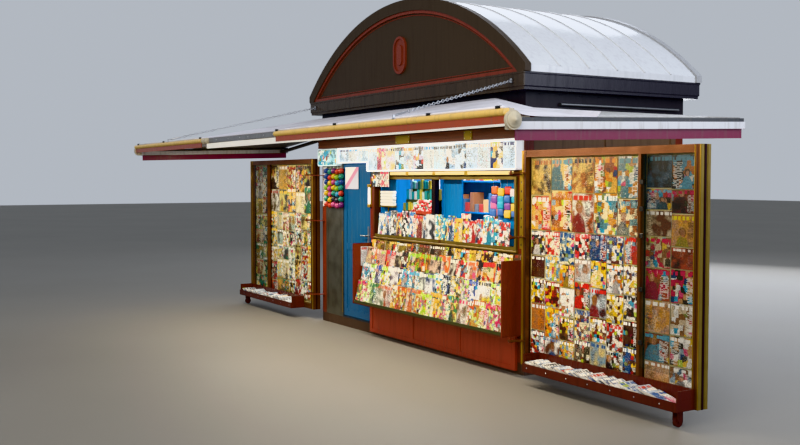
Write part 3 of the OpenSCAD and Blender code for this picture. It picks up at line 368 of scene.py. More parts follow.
    # small type: dashes of chance length in a column at the left or the right
    row = add("Math MULTIPLY", {0: tall, 1: 34.0})
    cell = add("CombineXYZ", {"X": add("Math FLOOR", {0: add("Math MULTIPLY", {0: wide, 1: 11.0})}),
                              "Y": add("Math FLOOR", {0: row}), "Z": own})
    dash = add("TexWhiteNoise", {"noise_dimensions": "3D", "Vector": cell})
    atRight = add("Math GREATER_THAN", {0: chanceTwo, 1: 0.5})
    column = add("Math MULTIPLY_ADD", {0: atRight, 1: 0.56, 2: 0.22})
    small = add("Math MULTIPLY", {0: add("Math LESS_THAN", {0: dash, 1: lines}),
                                  1: add("Math LESS_THAN", {0: add("Math FRACT", {0: row}), 1: 0.5})})
    inColumn = add("Math MULTIPLY", {0: add("Math COMPARE", {0: wide, 1: column, 2: 0.18}),
                                     1: add("Math COMPARE", {0: tall, 1: 0.42, 2: 0.36})})
    typeTone = add("Mix RGBA", {0: add("Math GREATER_THAN", {0: chanceOne, 1: 0.5}), 6: "#f4f2ea", 7: "#201d1e"}, 2)
    printed = add("Mix RGBA", {0: add("Math MULTIPLY", {0: small, 1: inColumn}), 6: printed, 7: typeTone}, 2)
    colour = add("Mix RGBA", {0: add("Math GREATER_THAN", {0: deep, 1: 0.97}), 6: "#cdc7ba", 7: printed}, 2)
    fillNode(shader, {"Base Color": colour})
    if glow:
        fillNode(shader, {"Emission Color": colour, "Emission Strength": glow})
    return material


# Laminated notice: white sheet, a slanting pale band and a grey-lilac corner
def noticeSheet(name):
    material, add, shader = newMaterial(name, {"IOR": 1.5, "Roughness": 0.22})
    share = add("Attribute", {"attribute_name": "copyShare"}, "Vector")
    x, y = list(add("SeparateXYZ", {"Vector": share}, None))[:2]
    slant = add("Math SUBTRACT", {0: x, 1: y})
    corner = add("Math GREATER_THAN", {0: slant, 1: 0.12})
    band = add("Math COMPARE", {0: slant, 1: -0.02, 2: 0.14})
    low = add("Mix RGBA", {0: corner, 6: "#eef0f2", 7: "#b9bccc"}, 2)
    fillNode(shader, {"Base Color": add("Mix RGBA", {0: band, 6: low, 7: "#c98aa6"}, 2)})
    return material


# Moulded plastic or rubber, its tone given or on the mesh: smooth skin, scuffs and a soft gloss
def mouldedPlastic(name, tone=None, gloss=0.3):
    material, add, shader = newMaterial(name, {"IOR": 1.46, "Coat Weight": 0.2, "Coat Roughness": 0.1})
    scuff, mask = noiseMask(add, add("TexCoord", out="Object"), 12, 5.0, 0.5, 0.9, 0.35)
    own = tone or add("Attribute", {"attribute_name": "ownTone"})
    fillNode(shader, {"Base Color": add("Mix RGBA", {0: mask, 6: own, 7: "#77736c" if tone else "#8f8b84"}, 2),
                      "Roughness": add("MapRange", {"To Min": gloss, "To Max": gloss + 0.3, "Value": scuff})})
    return material


sideSlope = 0.06 / 2.154  # fall of the side bars over their length
sideLevel = railTop - 0.028 - 0.06
look = {
    "darkSteel": drawnMetal("brushedDarkSteel", "#77776f", "#3c3a34", "Z", 0.3, 0.75, 0.6),
    "frameSteel": paintedSteel("muddyBaseSteel", "#3b2a24", "#5b5148", 0.5, 0.7, 0.2),
    "floorPlate": paintedSteel("wornFloorPlate", "#6b6f70", "#3d3b38", 0.5, 0.5, 0.3),
    "sideWall": paintedSteel("satinWallPaint", "#66513f", "#1e1b1a", 0.4, 0.5, zones=[("#146ca8", "X", 0.0, 2.001)]),
    "rearWall": paintedSteel("satinRearPaint", "#66513f", "#1e1b1a", 0.4, 0.5, zones=[("#146ca8", "Y", 0.0, 0.951)]),
    "brown": paintedSteel("brownPostPaint", "#682c20", "#2c1811", 0.34, 0.5, zones=[("#1d1518", "X", 0.48, 0.565)]),
    "redBrown": paintedSteel("redBrownPanelPaint", "#a24434", "#3f1b14", 0.24, 0.4, 0.35),
    "darkBrown": paintedSteel("darkTierPaint", "#4a2418", "#22120d", 0.4, 0.4),
    "ceiling": paintedSteel("mattCeilingPaint", "#d9d6cc", "#a8a498", 0.7, 0.15),
    "cornice": paintedSteel("darkCornicePaint", "#37353c", "#1c1a20", 0.34, 0.45, zones=[
        ("#4b4239", "Y", -1.3, -1.095)]),
    "band": paintedSteel("darkBandPaint", "#2a2529", "#151214", 0.45, 0.4),
    "vault": paintedSteel("paleVaultSheet", "#d9dce1", "#9a9ea6", 0.2, 0.3, fade=0.03, chips=0.05),
    "gable": paintedSteel("darkBrownGablePaint", "#4b4239", "#2e2823", 0.5, 0.25, fade=0.06, shine=0.15,
                          zones=[("#aeb0b4", "Y", 1.04, 1.2)]),
    "moulding": paintedSteel("redBrownMouldingPaint", "#7d3f33", "#3f211b", 0.34, 0.4),
    "blue": paintedSteel("glossBluePaint", "#0f6fb0", "#3c5a70", 0.34, 0.3, 0.9),
    "door": paintedSteel("fadedBlueDoorPaint", "#0b4d7c", "#51666f", 0.3, 0.3, 2.1),
    "doorSteel": paintedSteel("blueGreyFramePaint", "#2f3b46", "#1b2229", 0.34, 0.4),
    "cream": layeredProfile("creamProfileOverRedValance", "#efc870", "#a64e32", barHigh.z - 0.048),
    "side": layeredProfile("whiteProfileOverMaroonValance", "#dcdde2", "#7c1d44", sideLevel - 0.05, sideSlope,
                           -2.714, "#33353a", 0.0515),
    "grey": drawnMetal("greyAnodisedProfile", "#8a8c90", "#5d5b57", "X", 0.38, 0.85),
    "beam": paintedSteel("beigeCastingOnGreyBeam", "#7c7e82", "#55534f", 0.4, 0.4, zones=[
        ("#c9bfa8", "X", 4.05, 4.3)]),
    "casting": paintedSteel("beigeCastPaint", "#c9bfa8", "#7c7260", 0.42, 0.6, fade=0.05, peelMm=6.0),
    "roofSheet": paintedSteel("dirtyGreyRoofSheet", "#8f8e8b", "#4d4a46", 0.4, 0.8, fade=0.05, chips=0.06),
    "bronze": drawnMetal("bronzeAnodisedProfile", "#744a32", "#3a2418", "Z", 0.32, 0.7, 0.35, [
        ("#94804a", "X", wingHigh.x - 0.012, wingHigh.x + 0.01), ("#35262a", "Y", -1.062, -1.04)]),
    "olive": drawnMetal("oliveGoldRail", "#8a7a36", "#4f4524", "X", 0.34, 0.7),
    "wornBrass": drawnMetal("wornBrassFrame", "#7d6a34", "#4a3a1d", "X", 0.42, 0.6, 0.6,
                            [("#5a2c1c", "X", 0.66, 0.702)]),
    "lip": drawnMetal("darkGreenRail", "#4c5138", "#2f3326", "X", 0.4, 0.5),
    "brass": drawnMetal("brushedBrass", "#c9a64a", "#8a6b2a", "X", 0.28, 0.9),
    "brassPlate": drawnMetal("dullBrassPlate", "#8f7c30", "#5a4a1c", "X", 0.36, 0.7),
    "brassPost": drawnMetal("brushedBrassPost", "#b8943c", "#6f5520", "Z", 0.3, 0.8),
    "steel": drawnMetal("brushedSteel", "#c4c6ca", "#8b8c8f", "Z", 0.3),
    "chain": drawnMetal("zincPlatedChain", "#c9ccd2", "#7c7f84", "Z", 0.36, 0.9),
    "fascia": varnishedWood("varnishedFasciaBoards", "#7c381b", "#451b0d"),
    "counter": varnishedWood("wornCounterBoard", "#8c7336", "#4f3d1b", 90.0),
    "opal": opalPlastic("opalLitAcrylic", "#eef3fb", 0.45),
    "opalBlue": opalPlastic("paleBlueAcrylic", "#cfe8ef", 0.3),
    # brass hand rail: its warm glow is a painted highlight, since the rail is no lamp
    "warmRail": opalPlastic("brassRailWithPaintedGlow", "#f3df94", 0.55, "#c9a64a"),
    "lampRail": opalPlastic("whiteLampRail", "#dcdad2", 0.05),
    "lampGlass": opalPlastic("litLampGlass", "#fff4dc", 7.0),
    "lampBand": opalPlastic("litLampBand", "#e4e1d8", 0.8),
    "tube": opalPlastic("litTube", "#fdfcf5", 9.0),
    "board": paintedSteel("creamDisplayBoard", "#dccf9c", "#5e5038", 0.5, 0.3, fade=0.05, zones=[
        ("#66513f", "Y", boardLow.y + 0.004, boardHigh.y + 0.01)]),
    "cloth": coatedCloth("coatedCanopyCloth", "#dcdae4", "#98969c"),
    "hem": coatedCloth("coatedHemCloth", "#eceaf2", "#b5b3ba"),
    "glass": clearGlass("clearFloatGlass", "#3f4d49"),
    "cover": printedPaper("coatedMagazinePaper", 0.3, 44.0, 0.32, 0.7),
    "pale": printedPaper("paleMagazinePaper", 0.35, 30.0, 0.3, 0.72),
    "litCover": printedPaper("backlitMagazinePaper", 0.25, 52.0, 0.16, 0.4, 0.3, 0.3),
    "litPlain": printedPaper("backlitPlainPaper", 0.25, 45.0, 0.0, 1.0, 0.3, 0.5),
    "news": printedPaper("newsprint", 0.75, 80.0, 0.0, 0.3, 0.8),
    "notice": noticeSheet("laminatedNotice"),
    "plastic": mouldedPlastic("tonedMouldedPlastic"),
    "black": mouldedPlastic("blackMouldedPlastic", "#1b1b1d", 0.35),
    "rubber": mouldedPlastic("greyCastorRubber", "#2b2b2c", 0.6),
    "paper": mouldedPlastic("whitePaper", "#efefec", 0.6),
    "darkTray": paintedSteel("darkBrownTrayPaint", "#4b1f1a", "#241210", 0.34, 0.5, 0.25),
}
nodeLooks = {
    "frameSteel": ["base_frame"], "floorPlate": ["floor_deck"],
    "rearWall": ["rear_wall"], "sideWall": ["side_walls"], "brown": ["corner_posts", "counter_post", "tier_cheeks"],
    "redBrown": ["base_panel", "counter_wall"], "darkBrown": ["display_tiers", "header_wall"],
    "darkSteel": ["steel_column"], "ceiling": ["ceiling"], "band": ["roof_band"], "cornice": ["cornice"],
    "vault": ["roof_vault"], "gable": ["gables"], "moulding": ["gable_trim"],
    "roofSheet": ["side_roofs"], "fascia": ["fascia"], "opal": ["lit_display"], "wornBrass": ["opening_frame"],
    "counter": ["counter_board"], "blue": ["service_panels"], "door": ["door_leaf"], "lip": ["tier_lips"],
    "opalBlue": ["column_header"], "doorSteel": ["door_frame"], "cloth": ["canopy_fabric"],
    "grey": ["canopy_arms", "side_cassettes"], "beam": ["canopy_beam"], "cream": ["front_bars"],
    "side": ["side_bars"], "steel": ["canopy_stays", "door_handle"], "lampRail": ["lamp_rail"],
    "bronze": ["right_wing_frame", "left_wing_frame"], "board": ["right_wing_board", "left_wing_board"],
    "glass": ["right_wing_glass", "left_wing_glass"],
    "darkTray": ["right_wing_tray", "left_wing_tray"],
}
for finish, names in nodeLooks.items():
    for name in names:
        nodes[name].data.materials.clear()
        nodes[name].data.materials.append(look[finish])
print("materials:", len(look))

# Slot names for the pieces in each finish, where a piece names no other; makePiece looks the slot up but gives it to
# nothing
finishSlots = {
    "brass": "brass_profile", "brassPlate": "brass_profile", "brassPost": "brass_profile",
    "warmRail": "brass_profile", "fascia": "fascia_wood", "olive": "olive_rail", "redBrown": "red_brown_paint",
    "blue": "blue_paint", "steel": "bright_steel", "chain": "bright_steel", "casting": "grey_profile",
    "cloth": "white_fabric", "hem": "white_fabric", "vault": "vault_sheet", "moulding": "moulding_paint",
    "band": "dark_steel", "opal": "light_box", "lampRail": "light_box", "lampGlass": "light_box",
    "lampBand": "light_box", "tube": "light_box",
}


# A mesh from arrays of points and four-cornered faces; doubled points are merged and faces turned outwards.
# fields are values per point that a material reads
def makePiece(name, points, quads, finish, body="cabin", slot=None, smooth=False, fields=None):
    mesh = bpy.data.meshes.new(name)
    points = np.asarray(points, dtype=np.float32).reshape(-1, 3)
    quads = np.asarray(quads, dtype=np.int32).reshape(-1, 4)
    mesh.vertices.add(len(points))
    mesh.vertices.foreach_set("co", points.ravel())
    mesh.loops.add(quads.size)
    mesh.loops.foreach_set("vertex_index", quads.ravel())
    mesh.polygons.add(len(quads))
    mesh.polygons.foreach_set("loop_start", np.arange(0, quads.size, 4, dtype=np.int32))
    for field, values in (fields or {}).items():
        values = np.asarray(values, dtype=np.float32)
        mesh.attributes.new(field, "FLOAT_VECTOR", "POINT").data.foreach_set("vector", values.ravel())
    mesh.update(calc_edges=True)
    mesh.validate()
    work = bmesh.new()
    work.from_mesh(mesh)
    bmesh.ops.remove_doubles(work, verts=work.verts, dist=0.00002)
    bmesh.ops.recalc_face_normals(work, faces=work.faces)
    work.to_mesh(mesh)
    work.free()
    mesh.polygons.foreach_set("use_smooth", np.full(len(mesh.polygons), smooth))
    mesh.materials.append(look[finish])
    piece = placeObject(name, mesh)
    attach(piece, body)
    slot = slot or finishSlots.get(finish)
    return piece


# Points with the given coordinates, each an array or one number for all
def columns(x, y, z):
    return np.stack(np.broadcast_arrays(x, y, z), -1)


# Numbers of the columns and rows of a grid, one pair for each of its places
def gridPlaces(cols, rows):
    return (a.ravel() for a in np.meshgrid(np.arange(cols), np.arange(rows)))


# Faces of a grid of rows x cols points, with each direction closed on itself where it says so
def gridFaces(rows, cols, closeRows=False, closeCols=False):
    r, c = np.meshgrid(np.arange(rows if closeRows else rows - 1), np.arange(cols if closeCols else cols - 1),
                       indexing="ij")
    r1, c1 = (r + 1) % rows, (c + 1) % cols
    return np.stack([r * cols + c, r * cols + c1, r1 * cols + c1, r1 * cols + c], -1).reshape(-1, 4)


# The same faces for each of count copies that have size points each
def copyFaces(quads, size, count):
    return (quads[None] + (np.arange(count) * size)[:, None, None]).reshape(-1, 4)


# One mesh from several parts, each an array of points and its faces
def joinParts(parts):
    starts = np.cumsum([0] + [points.size // 3 for points, _ in parts])
    return (np.concatenate([points.reshape(-1, 3) for points, _ in parts]),
            np.concatenate([quads + start for (_, quads), start in zip(parts, starts)]))


# Angles round a full turn
def fullTurn(count):
    return np.linspace(0, 2 * np.pi, count, endpoint=False)


# Boxes between two corners, joined in one mesh: corner (i, j, k) takes low or high on each axis
def boxPoints(lows, highs):
    lows, highs = np.atleast_2d(lows).astype(float), np.atleast_2d(highs).astype(float)
    pick = np.array([(i, j, k) for i in (0, 1) for j in (0, 1) for k in (0, 1)])
    points = lows[:, None] * (1 - pick) + highs[:, None] * pick
    faces = np.array([(0, 1, 3, 2), (4, 6, 7, 5), (0, 4, 5, 1), (2, 3, 7, 6), (0, 2, 6, 4), (1, 5, 7, 3)])
    return points, copyFaces(faces, 8, len(points))


# A piece with its edges rounded by a bevel
def roundEdges(piece, width):
    bevel = piece.modifiers.new("roundEdges", "BEVEL")
    bevel.width, bevel.segments, bevel.limit_method = width, 2, "ANGLE"


def makeBoxes(name, boxes, finish, body="cabin", slot=None, round=0.0015):
    points, quads = boxPoints([b[0] for b in boxes], [b[1] for b in boxes])
    piece = makePiece(name, points, quads, finish, body, slot)
    if round:
        roundEdges(piece, round)


# Two directions at right angles to out and to each other
def sideways(out):
    side = np.cross(out, (0.0, 0.0, 1.0)) if abs(out[2]) < 0.9 else np.array((1.0, 0.0, 0.0))
    side /= np.linalg.norm(side)
    return side, np.cross(out, side)


# Turned shapes: ring i of the profile (radius, height) is centre + radius (cos t side + sin t other) + height out
def makeTurned(name, profile, centres, out, finish, body="cabin", slot=None, sides=16, tones=None, smooth=True):
    profile, centres = np.asarray(profile, float), np.atleast_2d(centres).astype(float)
    out = np.asarray(out, float)
    side, other = sideways(out)
    turn = fullTurn(sides)[:, None]
    one = profile[:, 0, None, None] * (np.cos(turn) * side + np.sin(turn) * other) + profile[:, 1, None, None] * out
    size = len(profile) * sides
    fields = None if tones is None else {"ownTone": np.repeat(tones, size, 0)}
    makePiece(name, centres[:, None, None] + one, copyFaces(gridFaces(len(profile), sides, closeCols=True), size,
              len(centres)), finish, body, slot, smooth, fields)


# A closed ring turned about a line: its section is a closed loop of (radius, height)
def makeLoopTurned(name, profile, centre, out, finish, body, sides=40):
    profile, out = np.asarray(profile, float)[:-1], np.asarray(out, float)
    side, other = sideways(out)
    turn = fullTurn(sides)[:, None, None]
    points = np.asarray(centre) + profile[None, :, :1] * (np.cos(turn) * side + np.sin(turn) * other)
    makePiece(name, points + profile[None, :, 1:] * out, gridFaces(sides, len(profile), True, True), finish, body,
              smooth=True)


# Low round heads of rivets and bolts, closed at the back
def makeHeads(name, centres, out, radius, height, finish, body="cabin"):
    profile = [(0, -0.0005), (radius, -0.0005), (radius, 0.0), (0.82 * radius, 0.57 * height),
               (0.42 * radius, 0.91 * height), (0, height)]
    makeTurned(name, profile, centres, out, finish, body, sides=10)


# Boxes with a tone each; turn is the angle of each box about the upright line through its middle
def makeTonedBoxes(name, middles, sizes, tones, turn=0.0, round=0.003):
    points, quads = boxPoints(-sizes / 2, sizes / 2)
    c, s = (np.broadcast_to(v, (len(middles),))[:, None] for v in (np.cos(turn), np.sin(turn)))
    turned = columns(points[..., 0] * c - points[..., 1] * s, points[..., 0] * s + points[..., 1] * c,
                     points[..., 2]) + middles[:, None]
    roundEdges(makePiece(name, turned, quads, "plastic", fields={"ownTone": np.repeat(tones, 8, 0)}), round)


# A section carried along a path: point = path + a side + b up, where side = up x direction of the path
def sweepPoints(path, section, up=(0.0, 0.0, 1.0), closed=False):
    path, section = np.asarray(path, float), np.asarray(section, float)
    ahead = np.roll(path, -1, 0) - np.roll(path, 1, 0) if closed else np.gradient(path, axis=0)
    ahead /= np.linalg.norm(ahead, axis=1)[:, None]
    side = np.cross(up, ahead)
    side /= np.linalg.norm(side, axis=1)[:, None]
    top = np.cross(ahead, side)
    return path[:, None] + section[None, :, :1] * side[:, None] + section[None, :, 1:] * top[:, None]


# Rings of points and the faces between them, the ends drawn in to points so that the solid is closed
def closedTube(rings, first, last):
    size = rings.shape[1]
    rings = np.concatenate([np.repeat(first, size, 1), rings, np.repeat(last, size, 1)])
    return rings, gridFaces(len(rings), size, closeCols=True)


def makeSweep(name, paths, section, finish, up=(0.0, 0.0, 1.0), smooth=False):
    parts = []
    for path in paths:
        rings = sweepPoints(path, section, up)
        parts.append(closedTube(rings, rings[:1].mean(1, keepdims=True), rings[-1:].mean(1, keepdims=True)))
    makePiece(name, *joinParts(parts), finish, smooth=smooth)


# Points of a circle of the given radius, as a section
def circleSection(radius, sides=10):
    turn = fullTurn(sides)
    return np.stack([radius * np.cos(turn), radius * np.sin(turn)], 1)


# Canopy cloth: each point lies between the inner line, along the wall, and the outer line, round the bars.
# Height falls straight from inner to outer line, less sag 4 v (1 - v), plus ripples that die out at both lines
cloth = {
    "innerHalf": 1.75, "innerY": -1.115, "innerZ": 2.536, "outerHalf": 4.087, "frontY": -2.734,
    "frontZ": 2.2475, "backY": -2.0, "railLift": 0.004, "drop": 9.0, "sag": 0.022, "ripple": 0.0035, "thick": 0.0025,
    "frontSpans": 120, "sideSpans": 36, "rows": 36,
}


def thickenCloth(piece):
    shell = piece.modifiers.new("clothThickness", "SOLIDIFY")
    shell.thickness, shell.offset = cloth["thick"], 0.0


def makeCanopyCloth():
    s = cloth
    corner = np.array([s["outerHalf"], s["frontY"], s["frontZ"]])
    railAt = lambda y: railTop - 0.06 + sideSlope * (y + 2.714) + s["railLift"]
    back = np.array([s["outerHalf"], s["backY"], railAt(s["backY"])])
    inner = np.array([s["innerHalf"], s["innerY"], s["innerZ"]])
    flip = np.array([-1.0, 1.0, 1.0])
    t = np.linspace(0, 1, s["sideSpans"] + 1)[:, None]
    f = np.linspace(0, 1, s["frontSpans"] + 1)[:, None]
    rightSide = corner * (1 - t) + back * t
    onRail = railAt(rightSide[:, 1])  # height of the side rail; the cloth comes down to it past the corner
    rightSide[:, 2] = onRail + (s["frontZ"] - onRail) * np.exp(-s["drop"] * t[:, 0])
    leftSide = rightSide[::-1] * flip
    front = corner * flip * (1 - f) + corner * f
    outerLine = np.concatenate([leftSide, front[1:-1], rightSide])
    wall = inner * flip * (1 - f) + inner * f
    innerLine = np.concatenate([np.repeat(wall[:1], len(t), 0), wall[1:-1], np.repeat(wall[-1:], len(t), 0)])
    v = np.linspace(0, 1, s["rows"] + 1)[None, :, None]
    points = innerLine[:, None] * (1 - v) + outerLine[:, None] * v
    hold = 4 * v[..., 0] * (1 - v[..., 0])
    along = np.cumsum(np.linalg.norm(np.diff(outerLine, axis=0, prepend=outerLine[:1]), axis=1))[:, None]
    bays = np.abs(np.sin(np.pi * (points[..., 0] + 1.87) / 3.74))
    points[..., 2] -= s["sag"] * hold * (0.45 + 0.55 * bays)
    points[..., 2] += s["ripple"] * hold * np.sin(9.0 * along + 4.0 * v[..., 0]) * np.sin(2.3 * along)
    piece = makePiece("canopyCloth", points, gridFaces(*points.shape[:2]), "cloth", smooth=True)
    thickenCloth(piece)
    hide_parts("canopy_fabric")
    return points[0], points[-1]


# Gussets close the gap between the cloth's side edges and the sheet roofs over the wings: a point is
# edge (1 - v) + roof v, with the sagging edge of the cloth itself, and hangs a little between the two
gusset = {"roofIn": (2.056, -1.03, 2.439), "roofOut": (4.08, -1.958, 2.249), "sag": 0.012, "rows": 8}


def makeGussets(edges):
    s, parts = gusset, []
    t = np.linspace(0, 1, len(edges[0]))[:, None, None]
    v = np.linspace(0, 1, s["rows"] + 1)[None, :, None]
    for side, edge in zip((-1, 1), edges):
        roof = (np.array(s["roofIn"]) * (1 - t) + np.array(s["roofOut"]) * t) * np.array([side, 1, 1])
        points = (edge[:, None] - np.array([0, 0, 0.001])) * (1 - v) + roof * v
        points = points - np.array([0, 0, s["sag"]]) * 4 * v * (1 - v) * (1 - t)
        parts.append((points, gridFaces(len(edge), s["rows"] + 1)))
    thickenCloth(makePiece("clothGussets", *joinParts(parts), "cloth", smooth=True))


makeGussets(makeCanopyCloth())
print("canopy cloth made")


# Tones of the printed copies on each display: grounds, accents, pictures
palettes = {
    "counterRow": (["#f2f2f0", "#eceef0", "#f6f6f4", "#e4e8ec", "#e8d060", "#f4f4f2", "#f0ece4"],
                   ["#1f6fae", "#232327", "#c2302a", "#e0b92c", "#2f9fc0"],
                   ["#4a5260", "#8a9cb0", "#c9a04a", "#2c3138", "#b0b8c0", "#d8c02c"]),
    "topRow": (["#a8892c", "#5a4420", "#c9962a", "#3c3020", "#8f7a2c", "#b06a24", "#4a2c20"],
               ["#d8b13a", "#1f1814", "#8a2c1c", "#c9c05a"], ["#2c2418", "#b08a2c", "#6a4a24", "#4a241c"]),
    "secondRow": (["#e4e0ca", "#e6e6d8", "#e0901c", "#dfcf9c", "#d8b9a0", "#dfe6d4", "#e6dfc0"],
                  ["#c2302a", "#e0701c", "#2c2624", "#8ab52f"],
                  ["#7a4a3a", "#4a3a36", "#e8a83a", "#b88a80", "#3c3432"]),
    "thirdRow": (["#f2f2f0", "#f0c8d2", "#dfe6ee", "#e9efe0", "#f4f2ee", "#ece8e4"],
                 ["#2f4fa0", "#d02f5a", "#a8d02f", "#1a1a1e", "#2f9fc0"],
                 ["#3a363e", "#7a6a72", "#4a5a80", "#a09890", "#e0c83a"]),
    "fourthRow": (["#ccd87c", "#dfd87c", "#e0b8a4", "#e2e0d0", "#c0d294", "#dfd098", "#e2dccf"],
                  ["#a8c82a", "#e0b020", "#c83060", "#3f7a4a", "#c05a20"],
                  ["#8a7a4a", "#b07a70", "#6a7a5a", "#b8863c", "#7a6a6c"]),
    "lit": (["#dcecff", "#d6e8fb", "#e4e6fa", "#dcecff", "#cfe6f6", "#eef0f4"],
            ["#1590c8", "#e0ac08", "#1c2c66", "#cc2c6a", "#22262e"],
            ["#b4cce4", "#c8c0dc", "#9cbcd8", "#c8d4dc", "#e8d890"]),
    "cyan": (["#bfe6f2", "#a8dcec", "#e2f4f8"], ["#2fa0c4", "#3f8498"], ["#84c8dc", "#a8d0c8"]),
    "posters": (["#f0dc94", "#f2e6bc", "#e8c870", "#f0e8d4", "#dcae50", "#e0e4d8"],
                ["#b83424", "#211e1c", "#d8861c", "#a8642c", "#5a8a94"], ["#a05a2c", "#3c302a", "#d0a468", "#c98a2c"]),
    "warmWing": (["#dca848", "#ece2c0", "#e0d078", "#b8d0c0", "#eceadc", "#d8d8a8", "#ccd8c0"],
                 ["#a02c1c", "#f0c840", "#2c1f18", "#e8e8dc", "#2f7a5a"],
                 ["#5a4a24", "#b09044", "#5f7a58", "#d4c484", "#4a4c48"]),
    "coolWing": (["#ece0b8", "#e0c880", "#9a2c1f", "#f0ece0", "#4f3428", "#cc7418", "#d0dce0"],
                 ["#c2281f", "#e0b920", "#204a80", "#211e1c", "#f0ece4"],
                 ["#6a3a28", "#2c3c50", "#b07a50", "#4a201f", "#7a98a8"]),
    "darkGlass": (["#c9782c", "#e0a040", "#84401f", "#d8c4a4", "#5f7488", "#b04c2c", "#c99a6a"],
                  ["#e0cc20", "#f0ece4", "#c01f4a", "#5fa0b8"], ["#32221c", "#6a3c2a", "#c09070", "#8a5a34"]),
    "news": (["#eceef2", "#e2e8f0", "#f2f1ec", "#d8e2ee"], ["#3a5f9a", "#4a4a50", "#b8402c", "#b8c4d4"],
             ["#8a9ab4", "#a8b0bc", "#6a7a94", "#c4ccd8"]),
}


# Linear tones picked at random from a palette of hex values, one row each
def pickTones(rng, palette, count):
    tones = np.array([toLinear(tone)[:3] for tone in palette])
    return tones[rng.integers(0, len(tones), count)]


# Printed copies as curved slabs: P = foot + (u - 1/2) w right + v h up + (t d + bend v^2) out, u, v and t from 0 to 1
def makeCopies(name, foot, right, up, out, width, height, depth, palette, finish="cover", body="cabin",
               seed=1, bend=0.0, slot=None):
    rng = np.random.default_rng(seed)
    foot = np.atleast_2d(foot)
    count = len(foot)
    full = lambda value: np.broadcast_to(np.asarray(value, float), (count,)).reshape(count, 1, 1, 1)
    rows = lambda value: np.broadcast_to(np.asarray(value, float), (count, 3)).reshape(count, 1, 1, 1, 3)
    t, v, u = np.meshgrid([0.0, 1.0], np.linspace(0, 1, 4), np.linspace(0, 1, 3), indexing="ij")
    t, v, u = t[None], v[None], u[None]
    points = (rows(foot) + ((u - 0.5) * full(width))[..., None] * rows(right)
              + (v * full(height))[..., None] * rows(up)
              + (t * full(depth) + full(bend) * v ** 2)[..., None] * rows(out))
    one = lambda i: np.arange(12).reshape(4, 3) + 12 * i
    back, face = one(0), one(1)
    sides = []
    for loop in (lambda g: g[0], lambda g: g[-1], lambda g: g[:, 0], lambda g: g[:, -1]):
        a, b = loop(back), loop(face)
        sides.append(np.stack([a[:-1], a[1:], b[1:], b[:-1]], 1))
    quads = np.concatenate([gridFaces(4, 3), gridFaces(4, 3) + 12, *sides])
    seeds = rng.uniform(0, 40, count).reshape(count, 1, 1, 1)
    place = np.stack(np.broadcast_arrays(u * full(width), v * full(height), seeds), -1)
    share = np.stack(np.broadcast_arrays(u, v, t), -1) + np.zeros((count, 1, 1, 1, 1))
    fields = {"copyPlace": place, "copyShare": share}
    for field, tones in zip(("copyGround", "copyAccent", "copyPicture"), palettes[palette]):
        fields[field] = rows(pickTones(rng, tones, count)) + np.zeros((1, 2, 4, 3, 1))
    return makePiece(name, points, copyFaces(quads, 24, count), finish, body, slot, fields=fields)


# Directions of copies that lean back by lean and roll sideways by roll, as rows: right, up, out
def leaning(lean, roll):
    up = np.stack([np.sin(roll), np.sin(lean) * np.cos(roll), np.cos(lean) * np.cos(roll)], 1)
    right = np.stack([np.cos(roll), -np.sin(lean) * np.sin(roll), -np.cos(lean) * np.sin(roll)], 1)
    return right, up, np.cross(right, up)


facingFront = ((1, 0, 0), (0, 0, 1), (0, -1, 0))  # right, up and out of a sheet that faces the front


# Magazines on the ledges of the tiers, leaning back against the ledge above
tierGoods = {"rows": 4, "pitch": 0.15, "width": 0.205, "height": (0.25, 0.28), "topHeight": (0.168, 0.177),
             "depth": (0.004, 0.009), "lean": 10.0, "lipDepth": 0.012, "endGap": 0.115}


def makeTierMagazines():
    s = tierGoods
    rise = (tierHigh.z - (tierLow.z + 0.014)) / s["rows"]
    run = (frontY - tierLow.y) / s["rows"]
    for row, palette in enumerate(("topRow", "secondRow", "thirdRow", "fourthRow"), start=1):
        rng = np.random.default_rng(40 + row)
        length = tierHigh.x - tierLow.x
        count = int(length / s["pitch"])
        index = np.arange(count)
        x = tierLow.x + (index + 0.5) * length / count + rng.uniform(-0.012, 0.012, count)
        x = np.clip(x, tierLow.x + s["endGap"], tierHigh.x - s["endGap"])
        y = np.full(count, frontY - row * run + s["lipDepth"]) + (index % 3) * 0.003
        right, up, out = leaning(np.radians(s["lean"] + rng.uniform(-1.0, 1.0, count)),
                                 np.radians(rng.uniform(-2.0, 2.0, count)))
        makeCopies(f"magazinesOnTier{row}", columns(x, y, tierHigh.z - row * rise + 0.001), right, up, out,
                   s["width"] * rng.uniform(0.9, 1.06, count),
                   rng.uniform(*s["height" if row > 1 else "topHeight"], count),
                   rng.uniform(*s["depth"], count), palette, "cover" if row < 3 else "pale",
                   seed=60 + row, bend=rng.uniform(-0.004, 0.006, count))


# Magazines that stand on the sill of the service opening, against its frame
counterRow = {"pitch": 0.128, "width": (0.12, 0.185), "height": (0.2, 0.285), "lean": 3.2, "footY": -1.021}


def makeCounterRow():
    s = counterRow
    rng = np.random.default_rng(31)
    count = int((openHigh.x - openLow.x - 0.2) / s["pitch"])
    index = np.arange(count)
    x = openLow.x + 0.12 + (index + 0.5) * (openHigh.x - openLow.x - 0.24) / count
    right, up, out = leaning(np.radians(s["lean"] + rng.uniform(-0.3, 0.3, count)),
                             np.radians(rng.uniform(-2.5, 2.5, count)))
    foot = columns(x, s["footY"] + (index % 2) * 0.005, openLow.z + 0.0285)
    makeCopies("magazinesOnCounter", foot, right, up, out, rng.uniform(*s["width"], count),
               rng.uniform(*s["height"], count), 0.004, "counterRow", "pale", seed=32)


makeTierMagazines()
makeCounterRow()
print("magazines of the front made")

# Pages behind the opal face of the lit display, over the opening and over the door
displayGoods = {"width": 0.192, "height": 0.25, "recess": 0.022, "rim": 0.014, "depth": 0.002,
                "bendX": -0.75, "doorFoot": 1.978, "doorHeight": 0.15, "hangX": (-0.58, -0.385), "hangWidth": 0.19,
                "hangHeight": 0.17}


